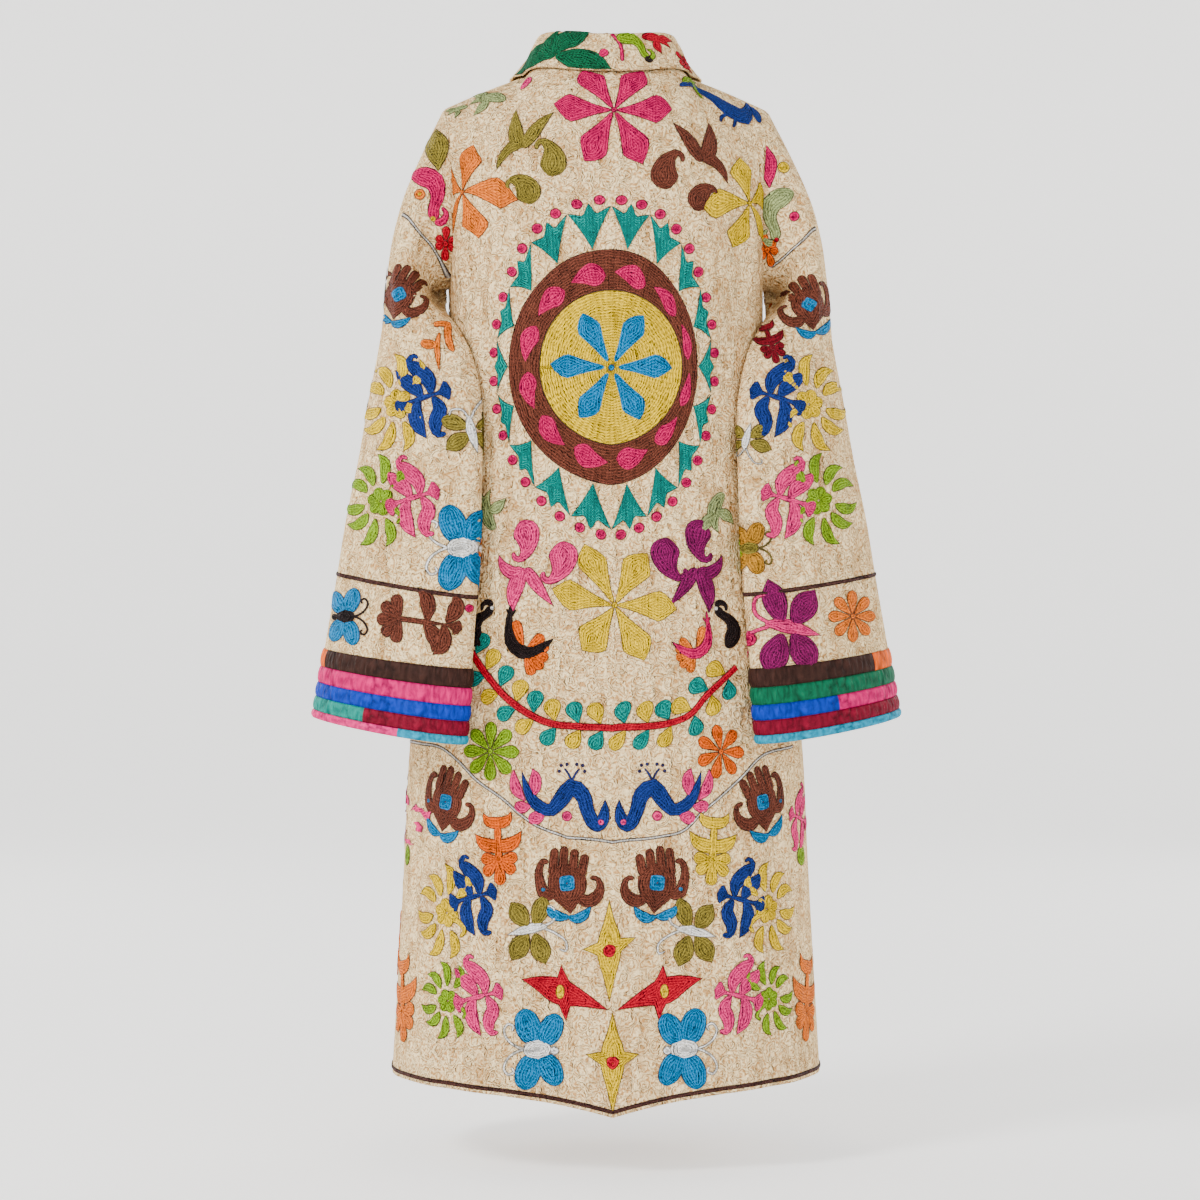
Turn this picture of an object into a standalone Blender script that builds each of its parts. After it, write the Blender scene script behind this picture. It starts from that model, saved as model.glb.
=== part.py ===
"""A long embroidered coat, hanging filled out as on a wearer, cut like a princess-seamed Central Asian robe.

Metres, +Z up. The wearer faces -Y. The origin is the middle of the neck at the height of the side neck points.
Every cloth piece is a wall worked out from sections: the body from level rings below the underarm and from a
patch between the underarm ring, the neck, the shoulder seam and the armhole above it, the sleeves from ovals
that turn from the armhole down to the cuff, and the collar from a profile carried round the neck.
"""

import math
from collections import namedtuple

import bmesh
import bpy
import numpy as np

CLOTH = 0.0022
SILK = 0.0010
SEAM_GAP = 0.0004
WELD = 1e-6

UNDERARM_HEIGHT = -0.225
HEM_HEIGHT_SIDE = -1.042
HEM_DROP_BACK = 0.026
HEM_DROP_FRONT = 0.010
HEM_V_SHARPNESS = 3.5
RING_SQUARENESS = 2.45

SHOULDER_TIP = (0.170, 0.000, -0.0391)
NECK_HALF_WIDTH = 0.075
NECK_BACK = 0.062
NECK_FRONT = 0.080
NECK_POINT_HEIGHT = -0.003
NECK_BACK_HEIGHT = -0.006
NECK_FRONT_HEIGHT = -0.078
SHOULDER_RISE = 0.0015

ARMHOLE_X_UNDERARM = 0.163
ARMHOLE_BACK_DEPTH = 0.056
ARMHOLE_FRONT_DEPTH = 0.060
ARMHOLE_HOLLOW = 0.006

OPENING_AT_NECK = 0.006
OPENING_AT_HEM = 0.030

BodyRing = namedtuple("BodyRing", "height half_width back_depth front_depth")
BODY_RINGS = [
    BodyRing(-1.042, 0.2225, 0.152, 0.142),
    BodyRing(-0.940, 0.2165, 0.148, 0.138),
    BodyRing(-0.820, 0.2100, 0.143, 0.133),
    BodyRing(-0.700, 0.2040, 0.138, 0.128),
    BodyRing(-0.590, 0.1910, 0.132, 0.122),
    BodyRing(-0.480, 0.1730, 0.124, 0.116),
    BodyRing(-0.390, 0.1640, 0.121, 0.117),
    BodyRing(-0.300, 0.1630, 0.123, 0.123),
    BodyRing(-0.225, 0.1630, 0.125, 0.120),
]

SleeveOval = namedtuple(
    "SleeveOval", "outer_x outer_y outer_z inner_x inner_y inner_z back_depth front_depth turn_deg"
)
SLEEVE_OVALS = [
    SleeveOval(0.1700, 0.000, -0.0391, 0.163, 0.000, -0.225, 0.056, 0.060, 0),
    SleeveOval(0.1880, 0.002, -0.0800, 0.174, 0.005, -0.230, 0.058, 0.058, 9),
    SleeveOval(0.2010, 0.003, -0.1220, 0.174, 0.024, -0.243, 0.056, 0.055, 18),
    SleeveOval(0.2080, 0.004, -0.1640, 0.166, 0.044, -0.256, 0.052, 0.051, 26),
    SleeveOval(0.2145, 0.005, -0.2040, 0.154, 0.063, -0.271, 0.047, 0.047, 33),
    SleeveOval(0.2215, 0.006, -0.2420, 0.144, 0.079, -0.291, 0.043, 0.043, 38),
    SleeveOval(0.2310, 0.008, -0.2880, 0.137, 0.092, -0.322, 0.038, 0.038, 40),
    SleeveOval(0.2425, 0.011, -0.3415, 0.134, 0.101, -0.362, 0.034, 0.034, 41),
    SleeveOval(0.2540, 0.014, -0.4045, 0.134, 0.107, -0.415, 0.032, 0.032, 41),
    SleeveOval(0.2672, 0.017, -0.4675, 0.135, 0.113, -0.475, 0.032, 0.032, 40),
    SleeveOval(0.2772, 0.020, -0.5305, 0.138, 0.120, -0.540, 0.033, 0.032, 39),
    SleeveOval(0.2877, 0.023, -0.5935, 0.143, 0.129, -0.612, 0.034, 0.032, 38),
    SleeveOval(0.3000, 0.027, -0.6710, 0.150, 0.140, -0.696, 0.036, 0.034, 37),
]
ARMHOLE_BLEND = 0.30
SLEEVE_OFF_BODY = 0.006
UNDERARM_STAND = 0.010

CuffStrip = namedtuple("CuffStrip", "name height swell colour_left colour_right")
CUFF_STRIPS = [
    CuffStrip("1", 0.0180, 0.0009, (0.090, 0.045, 0.035), (0.090, 0.045, 0.035)),
    CuffStrip("2", 0.0165, 0.0010, (0.870, 0.010, 0.190), (0.020, 0.110, 0.085)),
    CuffStrip("3", 0.0145, 0.0010, (0.010, 0.080, 0.520), (0.780, 0.020, 0.290)),
    CuffStrip("4", 0.0140, 0.0010, (0.010, 0.360, 0.320), (0.300, 0.008, 0.030)),
    CuffStrip("5", 0.0080, 0.0013, (0.780, 0.070, 0.330), (0.020, 0.480, 0.640)),
]
CUFF_GATHERS = 20

PrincessPoint = namedtuple("PrincessPoint", "height across")
PRINCESS_SEAM = [
    PrincessPoint(-1.045, 0.093),
    PrincessPoint(-0.900, 0.088),
    PrincessPoint(-0.780, 0.088),
    PrincessPoint(-0.640, 0.096),
    PrincessPoint(-0.480, 0.106),
    PrincessPoint(-0.340, 0.118),
    PrincessPoint(-0.225, 0.142),
]
PRINCESS_MEETS_ARMHOLE = 4
SIDE_BACK_TIP = 0.8

Fold = namedtuple("Fold", "side across_top height_top across_bottom height_bottom width depth")
BODY_FOLDS = [
    Fold("back", 0.150, -0.115, 0.140, -0.300, 0.016, 0.009),
    Fold("back", 0.195, -0.560, 0.235, -1.060, 0.030, 0.008),
    Fold("back", 0.060, -0.640, 0.062, -1.080, 0.034, 0.004),
    Fold("front", 0.150, -0.120, 0.155, -0.300, 0.018, 0.008),
    Fold("front", 0.085, -0.420, 0.110, -1.060, 0.032, 0.008),
    Fold("front", 0.190, -0.520, 0.220, -1.060, 0.030, 0.009),
]

CollarPoint = namedtuple("CollarPoint", "turn_deg stand_height stand_lean fall_reach")
COLLAR_POINTS = [
    CollarPoint(0, 0.0365, -0.004, 0.019),
    CollarPoint(45, 0.0350, -0.005, 0.022),
    CollarPoint(90, 0.0310, -0.007, 0.025),
    CollarPoint(130, 0.028, -0.009, 0.040),
    CollarPoint(160, 0.024, -0.007, 0.052),
    CollarPoint(180, 0.022, -0.004, 0.056),
]
COLLAR_CLEARANCE = 0.0050
COLLAR_FOLD_RADIUS = 0.0034
COLLAR_BELLY = 1.1

NECK_COLUMNS = 5
SHOULDER_COLUMNS = 5
SIDE_COLUMNS = 4
SKIRT_ROWS = 18
ARMHOLE_ROWS = 14
SLEEVE_ROWS = 15
SLEEVE_FIRST_ROW = 0.014
SECTION_SAMPLES = 181

CREAM = (0.640, 0.480, 0.320)


def smooth(xs, ys, at):
    """A cubic through (xs, ys) whose slope at each point is that of its two neighbours."""
    xs = np.asarray(xs, float)
    ys = np.asarray(ys, float)
    flat = ys.reshape(len(xs), -1)
    slopes = np.gradient(flat, xs, axis=0)
    at = np.clip(np.asarray(at, float), xs[0], xs[-1])
    i = np.clip(np.searchsorted(xs, at, side="right") - 1, 0, len(xs) - 2)
    step = (xs[i + 1] - xs[i])[..., None]
    t = (at - xs[i])[..., None] / step
    value = (
        flat[i] * (1 + 2 * t) * (1 - t) ** 2
        + slopes[i] * step * t * (1 - t) ** 2
        + flat[i + 1] * t * t * (3 - 2 * t)
        - slopes[i + 1] * step * t * t * (1 - t)
    )
    return value.reshape(at.shape + ys.shape[1:])


def field(table, name):
    """One named column of a table, as an array."""
    return np.array([getattr(row, name) for row in table], float)


def rings_upward(name):
    """A column of BODY_RINGS, which runs from the hem up."""
    return field(BODY_RINGS, name)


def neck_fraction():
    """The share of each half panel's top edge that is neckline, the rest being shoulder seam."""
    return NECK_COLUMNS / (NECK_COLUMNS + SHOULDER_COLUMNS)


def neckline(turn):
    """Points of the neck seam at a turn from centre back (0) past the side (pi/2) to centre front (pi)."""
    turn = np.asarray(turn, float)
    forward = (1 - np.cos(turn)) / 2
    x = NECK_HALF_WIDTH * np.sin(turn)
    depth = np.where(np.cos(turn) > 0, NECK_BACK, NECK_FRONT)
    y = depth * np.cos(turn)
    rise = NECK_POINT_HEIGHT + 0.125 * (NECK_POINT_HEIGHT - NECK_FRONT_HEIGHT) / 0.875
    z = rise + (NECK_FRONT_HEIGHT - rise) * forward**3
    back = np.clip(np.cos(turn), 0, 1) ** 2
    z = z + back * (NECK_BACK_HEIGHT - rise)
    return np.stack([x, y, z], -1)


def shoulder_seam(share):
    """Points from the side neck point (0) to the shoulder tip (1), in a slightly raised line."""
    share = np.asarray(share, float)[..., None]
    start = neckline(math.pi / 2)
    line = start + (np.array(SHOULDER_TIP) - start) * share
    line[..., 2] += 4 * SHOULDER_RISE * share[..., 0] * (1 - share[..., 0])
    return line


def opening_half(height):
    """Half the gap between the two fronts, which widens from the neck to the hem."""
    share = (NECK_FRONT_HEIGHT - height) / (NECK_FRONT_HEIGHT - HEM_HEIGHT_SIDE)
    return 0.5 * (OPENING_AT_NECK + (OPENING_AT_HEM - OPENING_AT_NECK) * np.clip(share, 0, 1) ** 1.5)


def top_edge(side, f):
    """The upper edge of a half panel: f runs along the neckline, then along the shoulder seam."""
    f = np.asarray(f, float)
    split = neck_fraction()
    along_neck = np.clip(f / split, 0, 1)
    if side == "back":
        turn = along_neck * math.pi / 2
    else:
        last = math.pi - math.asin(0.5 * OPENING_AT_NECK / NECK_HALF_WIDTH)
        turn = last + (math.pi / 2 - last) * along_neck
    on_shoulder = shoulder_seam(np.clip((f - split) / (1 - split), 0, 1))
    return np.where((f <= split)[..., None], neckline(turn), on_shoulder)


def armhole(turn):
    """The armhole seam: turn 0 at the shoulder tip, pi at the underarm, the back half between them."""
    turn = np.asarray(turn, float)
    top = SHOULDER_TIP[2]
    middle = (top + UNDERARM_HEIGHT) / 2
    depth = np.where(np.sin(turn) > 0, ARMHOLE_BACK_DEPTH, ARMHOLE_FRONT_DEPTH)
    x = (
        (SHOULDER_TIP[0] + ARMHOLE_X_UNDERARM) / 2
        + (SHOULDER_TIP[0] - ARMHOLE_X_UNDERARM) / 2 * np.cos(turn)
        - ARMHOLE_HOLLOW * np.abs(np.sin(turn))
    )
    return np.stack([x, depth * np.sin(turn), middle + (top - middle) * np.cos(turn)], -1)


def section(side, height, f):
    """A level ring of the body at each height, read at the share f of its length from centre to side seam."""
    heights = rings_upward("height")
    half = smooth(heights, rings_upward("half_width"), height)
    depth = smooth(heights, rings_upward(side + "_depth"), height)
    start = np.zeros_like(half) if side == "back" else opening_half(height)
    sign = 1.0 if side == "back" else -1.0
    first = np.arcsin(np.clip(start / half, 0, 1) ** (RING_SQUARENESS / 2))
    angle = first[:, None] + (math.pi / 2 - first[:, None]) * np.linspace(0, 1, SECTION_SAMPLES)
    x = half[:, None] * np.sin(angle) ** (2 / RING_SQUARENESS)
    y = depth[:, None] * np.cos(angle) ** (2 / RING_SQUARENESS)
    y[:, -1] = 0.0
    length = np.cumsum(np.hypot(np.diff(x, axis=1), np.diff(y, axis=1)), axis=1)
    length = np.hstack([np.zeros((len(x), 1)), length])
    out = np.empty(f.shape + (2,))
    for row in range(len(x)):
        wanted = f[row] * length[row, -1]
        out[row, :, 0] = np.interp(wanted, length[row], x[row])
        out[row, :, 1] = sign * np.interp(wanted, length[row], y[row])
    return out, length[:, -1]


def hem_height(side, f):
    """The hem dips in a soft V towards the centre of the back, and less at the front."""
    drop = HEM_DROP_BACK if side == "back" else HEM_DROP_FRONT
    return HEM_HEIGHT_SIDE - drop * (1 - f) ** HEM_V_SHARPNESS


def fold_depth(side, across, height):
    """How far the cloth sinks at a point of a half panel, from the long soft troughs in BODY_FOLDS."""
    sink = np.zeros_like(across)
    for fold in BODY_FOLDS:
        if fold.side != side:
            continue
        run = fold.height_bottom - fold.height_top
        t = np.clip((height - fold.height_top) / run, 0, 1)
        line = fold.across_top + (fold.across_bottom - fold.across_top) * t
        reaches_hem = fold.height_bottom < HEM_HEIGHT_SIDE
        swell = np.sin(t * (math.pi / 2 if reaches_hem else math.pi)) ** 1.5
        sink += fold.depth * swell * np.exp(-(((across - line) / fold.width) ** 2))
    return sink


def body_half(side, f, v):
    """Points of the half body on +X. v is 0 at the hem, 1 at the underarm ring and 2 at neck and shoulder."""
    low = np.clip(v, 0, 1)
    nominal = HEM_HEIGHT_SIDE + (UNDERARM_HEIGHT - HEM_HEIGHT_SIDE) * low[:, 0]
    flat, length = section(side, nominal, f)
    hem = hem_height(side, f)
    height = hem + (UNDERARM_HEIGHT - hem) * low
    skirt = np.concatenate([flat, height[..., None]], -1)
    w = np.clip(v - 1, 0, 1)
    quarter = w * math.pi / 2
    ease = np.stack([1 - np.cos(quarter), 1 - np.cos(quarter), np.sin(quarter)], -1)
    upper = skirt + (top_edge(side, f) - skirt) * ease
    edge_low = np.array([ARMHOLE_X_UNDERARM, 0.0, UNDERARM_HEIGHT])
    plain_edge = edge_low + (np.array(SHOULDER_TIP) - edge_low) * ease
    turn = math.pi * (1 - w) if side == "back" else math.pi * (1 + w)
    upper = upper + (f**3)[..., None] * (armhole(turn) - plain_edge)
    points = np.where((v > 1)[..., None], upper, skirt)
    sink = fold_depth(side, f * length[:, None], points[..., 2])
    sink = sink * (1 - f**6) * np.clip(3 * (2 - v), 0, 1)
    points[..., 1] -= np.sign(points[..., 1]) * sink
    return points


def skirt_and_armhole_rows():
    """The rows of every body panel, shared by their seams."""
    skirt = np.linspace(0, 1, SKIRT_ROWS + 1)[:-1]
    return np.concatenate([skirt, 1 + np.linspace(0, 1, ARMHOLE_ROWS + 1)])


def princess_share(v):
    """Where the princess seam runs, as a share of the back from centre to side or armhole."""
    nominal = HEM_HEIGHT_SIDE + (UNDERARM_HEIGHT - HEM_HEIGHT_SIDE) * np.clip(v, 0, 1)
    across = smooth(field(PRINCESS_SEAM, "height"), field(PRINCESS_SEAM, "across"), nominal)
    _, length = section("back", nominal, np.zeros((len(v), 1)))
    share = across / length
    meet = 1 + PRINCESS_MEETS_ARMHOLE / ARMHOLE_ROWS
    rise = np.clip((v - 1) / (meet - 1), 0, 1)
    start = share[np.searchsorted(v, 1.0)]
    return np.where(v > 1, start + (1 - start) * rise**1.3, share)


def plain_sleeve(turn, share):
    """The ovals of the table at each share of the sleeve's length, each read at every turn."""
    outer = np.array([[s.outer_x, s.outer_y, s.outer_z] for s in SLEEVE_OVALS])
    inner = np.array([[s.inner_x, s.inner_y, s.inner_z] for s in SLEEVE_OVALS])
    knots = sleeve_knots()
    o = smooth(knots, outer, share)
    i = smooth(knots, inner, share)
    behind = smooth(knots, field(SLEEVE_OVALS, "back_depth"), share)
    ahead = smooth(knots, field(SLEEVE_OVALS, "front_depth"), share)
    yaw = np.radians(smooth(knots, field(SLEEVE_OVALS, "turn_deg"), share))
    major = (o - i) / np.linalg.norm(o - i, axis=1)[:, None]
    minor = np.stack([np.sin(yaw), np.cos(yaw), np.zeros_like(yaw)], -1)
    minor -= major * (minor * major).sum(1)[:, None]
    minor /= np.linalg.norm(minor, axis=1)[:, None]
    sine = np.sin(turn)[None, :, None]
    depth = np.where(sine > 0, behind[:, None, None], ahead[:, None, None])
    centre = (o + i)[:, None] / 2
    return centre + (o - i)[:, None] / 2 * np.cos(turn)[None, :, None] + minor[:, None] * depth * sine


def clear_of_body(points, margin):
    """Sleeve points, with those inside the body's ring and its margin moved straight out of it."""
    height = np.clip(points[..., 2], HEM_HEIGHT_SIDE, UNDERARM_HEIGHT)
    heights = rings_upward("height")
    half = smooth(heights, rings_upward("half_width"), height) + margin
    behind = smooth(heights, rings_upward("back_depth"), height) + margin
    ahead = smooth(heights, rings_upward("front_depth"), height) + margin
    depth = np.where(points[..., 1] > 0, behind, ahead)
    n = RING_SQUARENESS
    inside = (np.abs(points[..., 0]) / half) ** n + (np.abs(points[..., 1]) / depth) ** n
    factor = np.maximum(1.0, inside ** (-1 / n))
    low = np.clip((UNDERARM_HEIGHT + 0.035 - points[..., 2]) / 0.030, 0, 1)
    factor = 1 + (factor - 1) * low * (margin > 0)
    return points * np.stack([factor, factor, np.ones_like(factor)], -1)


def sleeve_points(turn, share):
    """Points of the +X sleeve. share is 0 at the armhole and 1 at the cuff's edge."""
    plain = plain_sleeve(turn, share)
    start = plain_sleeve(turn, np.array([0.0]))
    fade = np.clip(1 - share / ARMHOLE_BLEND, 0, 1)[:, None, None] ** 2
    ring = plain + (armhole(turn) - start) * fade
    leaving = (1 - np.exp(-share / 0.012)) * np.exp(-((share / 0.2) ** 2))
    ring[..., 0] += UNDERARM_STAND * leaving[:, None] * np.clip(0.2 - np.cos(turn), 0, 1)[None]
    margin = SLEEVE_OFF_BODY * np.clip(share / 0.05, 0, 1)[:, None] * np.ones(len(turn))
    return clear_of_body(ring, margin)


def sleeve_knots():
    """The share of the sleeve's length at which each oval of the table lies, along its outer line."""
    outer = np.array([[s.outer_x, s.outer_y, s.outer_z] for s in SLEEVE_OVALS])
    step = np.linalg.norm(np.diff(outer, axis=0), axis=1)
    length = np.concatenate([[0.0], np.cumsum(step)])
    return length / length[-1]


def sleeve_length():
    """The sleeve's length from shoulder tip to cuff edge along its outer line."""
    outer = np.array([[s.outer_x, s.outer_y, s.outer_z] for s in SLEEVE_OVALS])
    return float(np.linalg.norm(np.diff(outer, axis=0), axis=1).sum())


def shoulder_cloud():
    """Many points of the body round the neck, as the ground that the collar's fall comes to rest on."""
    v = np.repeat(np.linspace(1.35, 2.0, 90)[:, None], 90, 1)
    f = np.repeat(np.linspace(0.0, 0.95, 90)[None], 90, 0)
    return np.concatenate([body_half(side, f, v).reshape(-1, 3) for side in ("back", "front")])


def cloth_height(cloud, at):
    """The height of the body at places seen from above, from the four points of the cloud nearest each."""
    away = ((at[:, None, :] - cloud[None, :, :2]) ** 2).sum(-1)
    nearest = np.argpartition(away, 4, axis=1)[:, :4]
    weight = 1 / (np.take_along_axis(away, nearest, axis=1) + 1e-9)
    return (cloud[nearest, 2] * weight).sum(1) / weight.sum(1)


def collar_profile(turn):
    """The collar's middle line at each turn round the neck: up the stand, over the fold, down the fall."""
    degrees = np.degrees(turn)
    angles = field(COLLAR_POINTS, "turn_deg")
    stand = smooth(angles, field(COLLAR_POINTS, "stand_height"), degrees)
    lean = smooth(angles, field(COLLAR_POINTS, "stand_lean"), degrees)
    reach = smooth(angles, field(COLLAR_POINTS, "fall_reach"), degrees)
    seam = neckline(turn)
    along = neckline(turn + 0.01) - neckline(turn - 0.01)
    outward = np.stack([-along[:, 1], along[:, 0], np.zeros(len(turn))], -1)
    outward /= np.linalg.norm(outward, axis=1)[:, None]
    up = np.array([0.0, 0.0, 1.0])
    fold = seam + outward * lean[:, None] + up * stand[:, None]
    radius = COLLAR_FOLD_RADIUS
    rows = [seam, seam + (fold - seam) * 0.45 + outward * 0.001, fold - up * radius]
    for angle in (45, 90, 135):
        swing = math.radians(angle)
        rows.append(fold + outward * radius * (1 - math.cos(swing)) - up * radius * (1 - math.sin(swing)))
    fall_top = fold + outward * 2 * radius - up * radius
    rows.append(fall_top)
    steps = np.arange(0, 0.062, 0.002)
    places = seam[:, None, :2] + outward[:, None, :2] * steps[None, :, None]
    heights = cloth_height(shoulder_cloud(), places.reshape(-1, 2)).reshape(len(turn), -1)
    heights[:, 0] = seam[:, 2]
    run = np.cumsum(np.hypot(0.002, np.diff(heights, axis=1)), axis=1)
    run = np.hstack([np.zeros((len(turn), 1)), run])
    for share in (0.3, 0.6, 0.85, 1.0):
        rest = np.empty((len(turn), 3))
        for i in range(len(turn)):
            out_by = np.interp(reach[i] * share, run[i], steps)
            here = np.interp(out_by, steps, heights[i])
            slope = (np.interp(out_by + 0.006, steps, heights[i]) - np.interp(out_by - 0.006, steps, heights[i])) / 0.012
            lift = COLLAR_CLEARANCE * share / math.hypot(1, slope)
            rest[i] = seam[i] + outward[i] * (out_by - slope * lift)
            rest[i, 2] = here + lift
        rows.append(rest + (fall_top - seam) * (1 - share) ** COLLAR_BELLY)
    return np.stack(rows)


def mirrored(grid):
    """The same piece on the wearer's other side, with its columns in reverse so that it still faces out."""
    other = grid[:, ::-1].copy()
    other[..., 0] *= -1
    return other


def own_normals(grid):
    """The outward direction of one grid at each of its points, from the faces round it."""
    face = np.cross(grid[1:, 1:] - grid[:-1, :-1], grid[1:, :-1] - grid[:-1, 1:])
    face /= np.maximum(np.linalg.norm(face, axis=2), 1e-12)[..., None]
    total = np.zeros(grid.shape)
    total[1:, 1:] += face
    total[:-1, :-1] += face
    total[1:, :-1] += face
    total[:-1, 1:] += face
    return total / np.maximum(np.linalg.norm(total, axis=2), 1e-12)[..., None]


def shared_normals(grids):
    """One outward direction for each point, halfway between those of the pieces that meet at a seam."""
    points = np.concatenate([g.reshape(-1, 3) for g in grids.values()])
    normals = np.concatenate([own_normals(g).reshape(-1, 3) for g in grids.values()])
    _, index = np.unique(np.round(points / 1e-5).astype(np.int64), axis=0, return_inverse=True)
    index = index.reshape(-1)
    total = np.zeros((index.max() + 1, 3))
    np.add.at(total, index, normals)
    total /= np.maximum(np.linalg.norm(total, axis=1), 1e-12)[:, None]
    out = {}
    start = 0
    for name, grid in grids.items():
        count = grid.shape[0] * grid.shape[1]
        out[name] = total[index[start : start + count]].reshape(grid.shape)
        start += count
    return out


def drawn_in(grid, edges):
    """The grid with the named edges moved half a seam gap into the piece, square to the seam."""
    grid = grid.copy()
    inner = {"first_column": (0, 1, 1), "last_column": (-1, -2, 1), "first_row": (0, 1, 0), "last_row": (-1, -2, 0)}
    for edge in edges:
        at, towards, axis = inner[edge]
        line = np.take(grid, at, axis=axis)
        step = np.take(grid, towards, axis=axis) - line
        tangent = np.gradient(line, axis=0, edge_order=1)
        tangent /= np.maximum(np.linalg.norm(tangent, axis=1), 1e-9)[:, None]
        step = step - tangent * (step * tangent).sum(1)[:, None]
        size = np.linalg.norm(step, axis=1)[:, None]
        line = line + step / np.maximum(size, 1e-9) * (SEAM_GAP / 2) * (size > 1e-6)
        if axis == 1:
            grid[:, at] = line
        else:
            grid[at] = line
    return grid


def wall_object(name, outer, inner, closed_round, colour, collection):
    """A closed wall between an outer and an inner grid of points, as one object."""
    rows, columns = outer.shape[:2]
    count = rows * columns
    ids = np.arange(count).reshape(rows, columns)
    last = columns if closed_round else columns - 1
    faces = []
    for row in range(rows - 1):
        for column in range(last):
            right = (column + 1) % columns
            a, b = ids[row, column], ids[row, right]
            c, d = ids[row + 1, right], ids[row + 1, column]
            faces.append((a, b, c, d))
            faces.append((d + count, c + count, b + count, a + count))
    for row in (0, rows - 1):
        for column in range(last):
            a, b = ids[row, column], ids[row, (column + 1) % columns]
            rim = (b, a, a + count, b + count)
            faces.append(rim if row == 0 else rim[::-1])
    if not closed_round:
        for row in range(rows - 1):
            for column in (0, columns - 1):
                a, b = ids[row, column], ids[row + 1, column]
                rim = (a, b, b + count, a + count)
                faces.append(rim if column == 0 else rim[::-1])
    mesh = bpy.data.meshes.new(name)
    points = np.concatenate([outer.reshape(-1, 3), inner.reshape(-1, 3)])
    mesh.from_pydata(points.tolist(), [], [tuple(int(i) for i in face) for face in faces])
    work = bmesh.new()
    work.from_mesh(mesh)
    bmesh.ops.remove_doubles(work, verts=work.verts, dist=WELD)
    bmesh.ops.triangulate(work, faces=work.faces)
    bmesh.ops.recalc_face_normals(work, faces=work.faces)
    work.to_mesh(mesh)
    work.free()
    mesh.shade_smooth()
    mesh.set_sharp_from_angle(angle=math.radians(45))
    mesh.materials.append(cloth_material(name, colour))
    made = bpy.data.objects.new(name, mesh)
    collection.objects.link(made)
    return made


def cloth_material(name, colour):
    """Matt thread or silk in the piece's main colour."""
    material = bpy.data.materials.new(name)
    material.use_nodes = True
    shader = material.node_tree.nodes["Principled BSDF"]
    shader.inputs["Base Color"].default_value = (*colour, 1.0)
    shader.inputs["Roughness"].default_value = 0.85
    shader.inputs["Metallic"].default_value = 0.0
    return material


def body_grids():
    """Middle surfaces of the back, the two side backs and the two fronts."""
    v = skirt_and_armhole_rows()
    columns = np.concatenate(
        [
            np.linspace(0, neck_fraction(), NECK_COLUMNS + 1),
            np.linspace(neck_fraction(), 1, SHOULDER_COLUMNS + 1)[1:],
        ]
    )
    seam = princess_share(v)
    rows = np.repeat(v[:, None], len(columns), 1)
    back_half = body_half("back", seam[:, None] * columns[None], rows)
    back = np.concatenate([mirrored(back_half)[:, :-1], back_half], 1)
    front = body_half("front", np.repeat(columns[None], len(v), 0), rows)[:, ::-1]
    last = SKIRT_ROWS + PRINCESS_MEETS_ARMHOLE + 1
    side_share = np.linspace(0, 1, SIDE_COLUMNS + 1)
    f = seam[:last, None] + (1 - seam[:last, None]) * side_share[None]
    side = body_half("back", f, np.repeat(v[:last, None], len(side_share), 1))
    return {
        "back_centre": back[:, ::-1],
        "side_back_left": side[:, ::-1],
        "side_back_right": mirrored(side[:, ::-1]),
        "front_left": front[:, ::-1],
        "front_right": mirrored(front[:, ::-1]),
    }


def round_turns():
    """The points round a sleeve, level with the rows of the armhole."""
    return np.linspace(0, 2 * math.pi, 2 * ARMHOLE_ROWS + 1)


def strip_shares():
    """Where the sleeve cloth and each cuff strip end, as shares of the sleeve's length."""
    heights = np.array([strip.height for strip in CUFF_STRIPS])
    below = np.concatenate([np.cumsum(heights[::-1])[::-1], [0.0]])
    return 1 - below / sleeve_length()


def sleeve_grids():
    """Middle surfaces of both sleeves and of their cuff strips."""
    grids = {}
    ends = strip_shares()
    rows = np.concatenate([[0.0, SLEEVE_FIRST_ROW], np.linspace(0.05, ends[0], SLEEVE_ROWS), ends[1:]])
    sleeve = sleeve_points(round_turns(), rows)[:, ::-1]
    pieces = {"sleeve": sleeve}
    for strip, top, bottom in zip(CUFF_STRIPS, ends[:-1], ends[1:]):
        pieces["cuff_strip_" + strip.name] = sleeve_points(round_turns(), np.array([top, bottom]))[:, ::-1]
    for name, grid in pieces.items():
        grids[name + "_left"] = grid
        grids[name + "_right"] = mirrored(grid)
    return grids


def collar_grid():
    """The middle surface of the collar, from one front end round the back to the other."""
    last = math.pi - math.asin(0.5 * OPENING_AT_NECK / NECK_HALF_WIDTH)
    back = np.linspace(0, math.pi / 2, NECK_COLUMNS + 1)
    front = np.linspace(math.pi / 2, last, NECK_COLUMNS + 1)[1:]
    half = collar_profile(np.concatenate([back, front]))
    return np.concatenate([mirrored(half)[:, :-1], half], 1)[:, ::-1]


def finer_round(grid):
    """The ring's points with one more in the middle of each straight step, for the gathers."""
    middle = (grid[:, :-1] + grid[:, 1:]) / 2
    rows, columns = grid.shape[:2]
    out = np.empty((rows, 2 * columns - 1, 3))
    out[:, ::2] = grid
    out[:, 1::2] = middle
    return out


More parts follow.
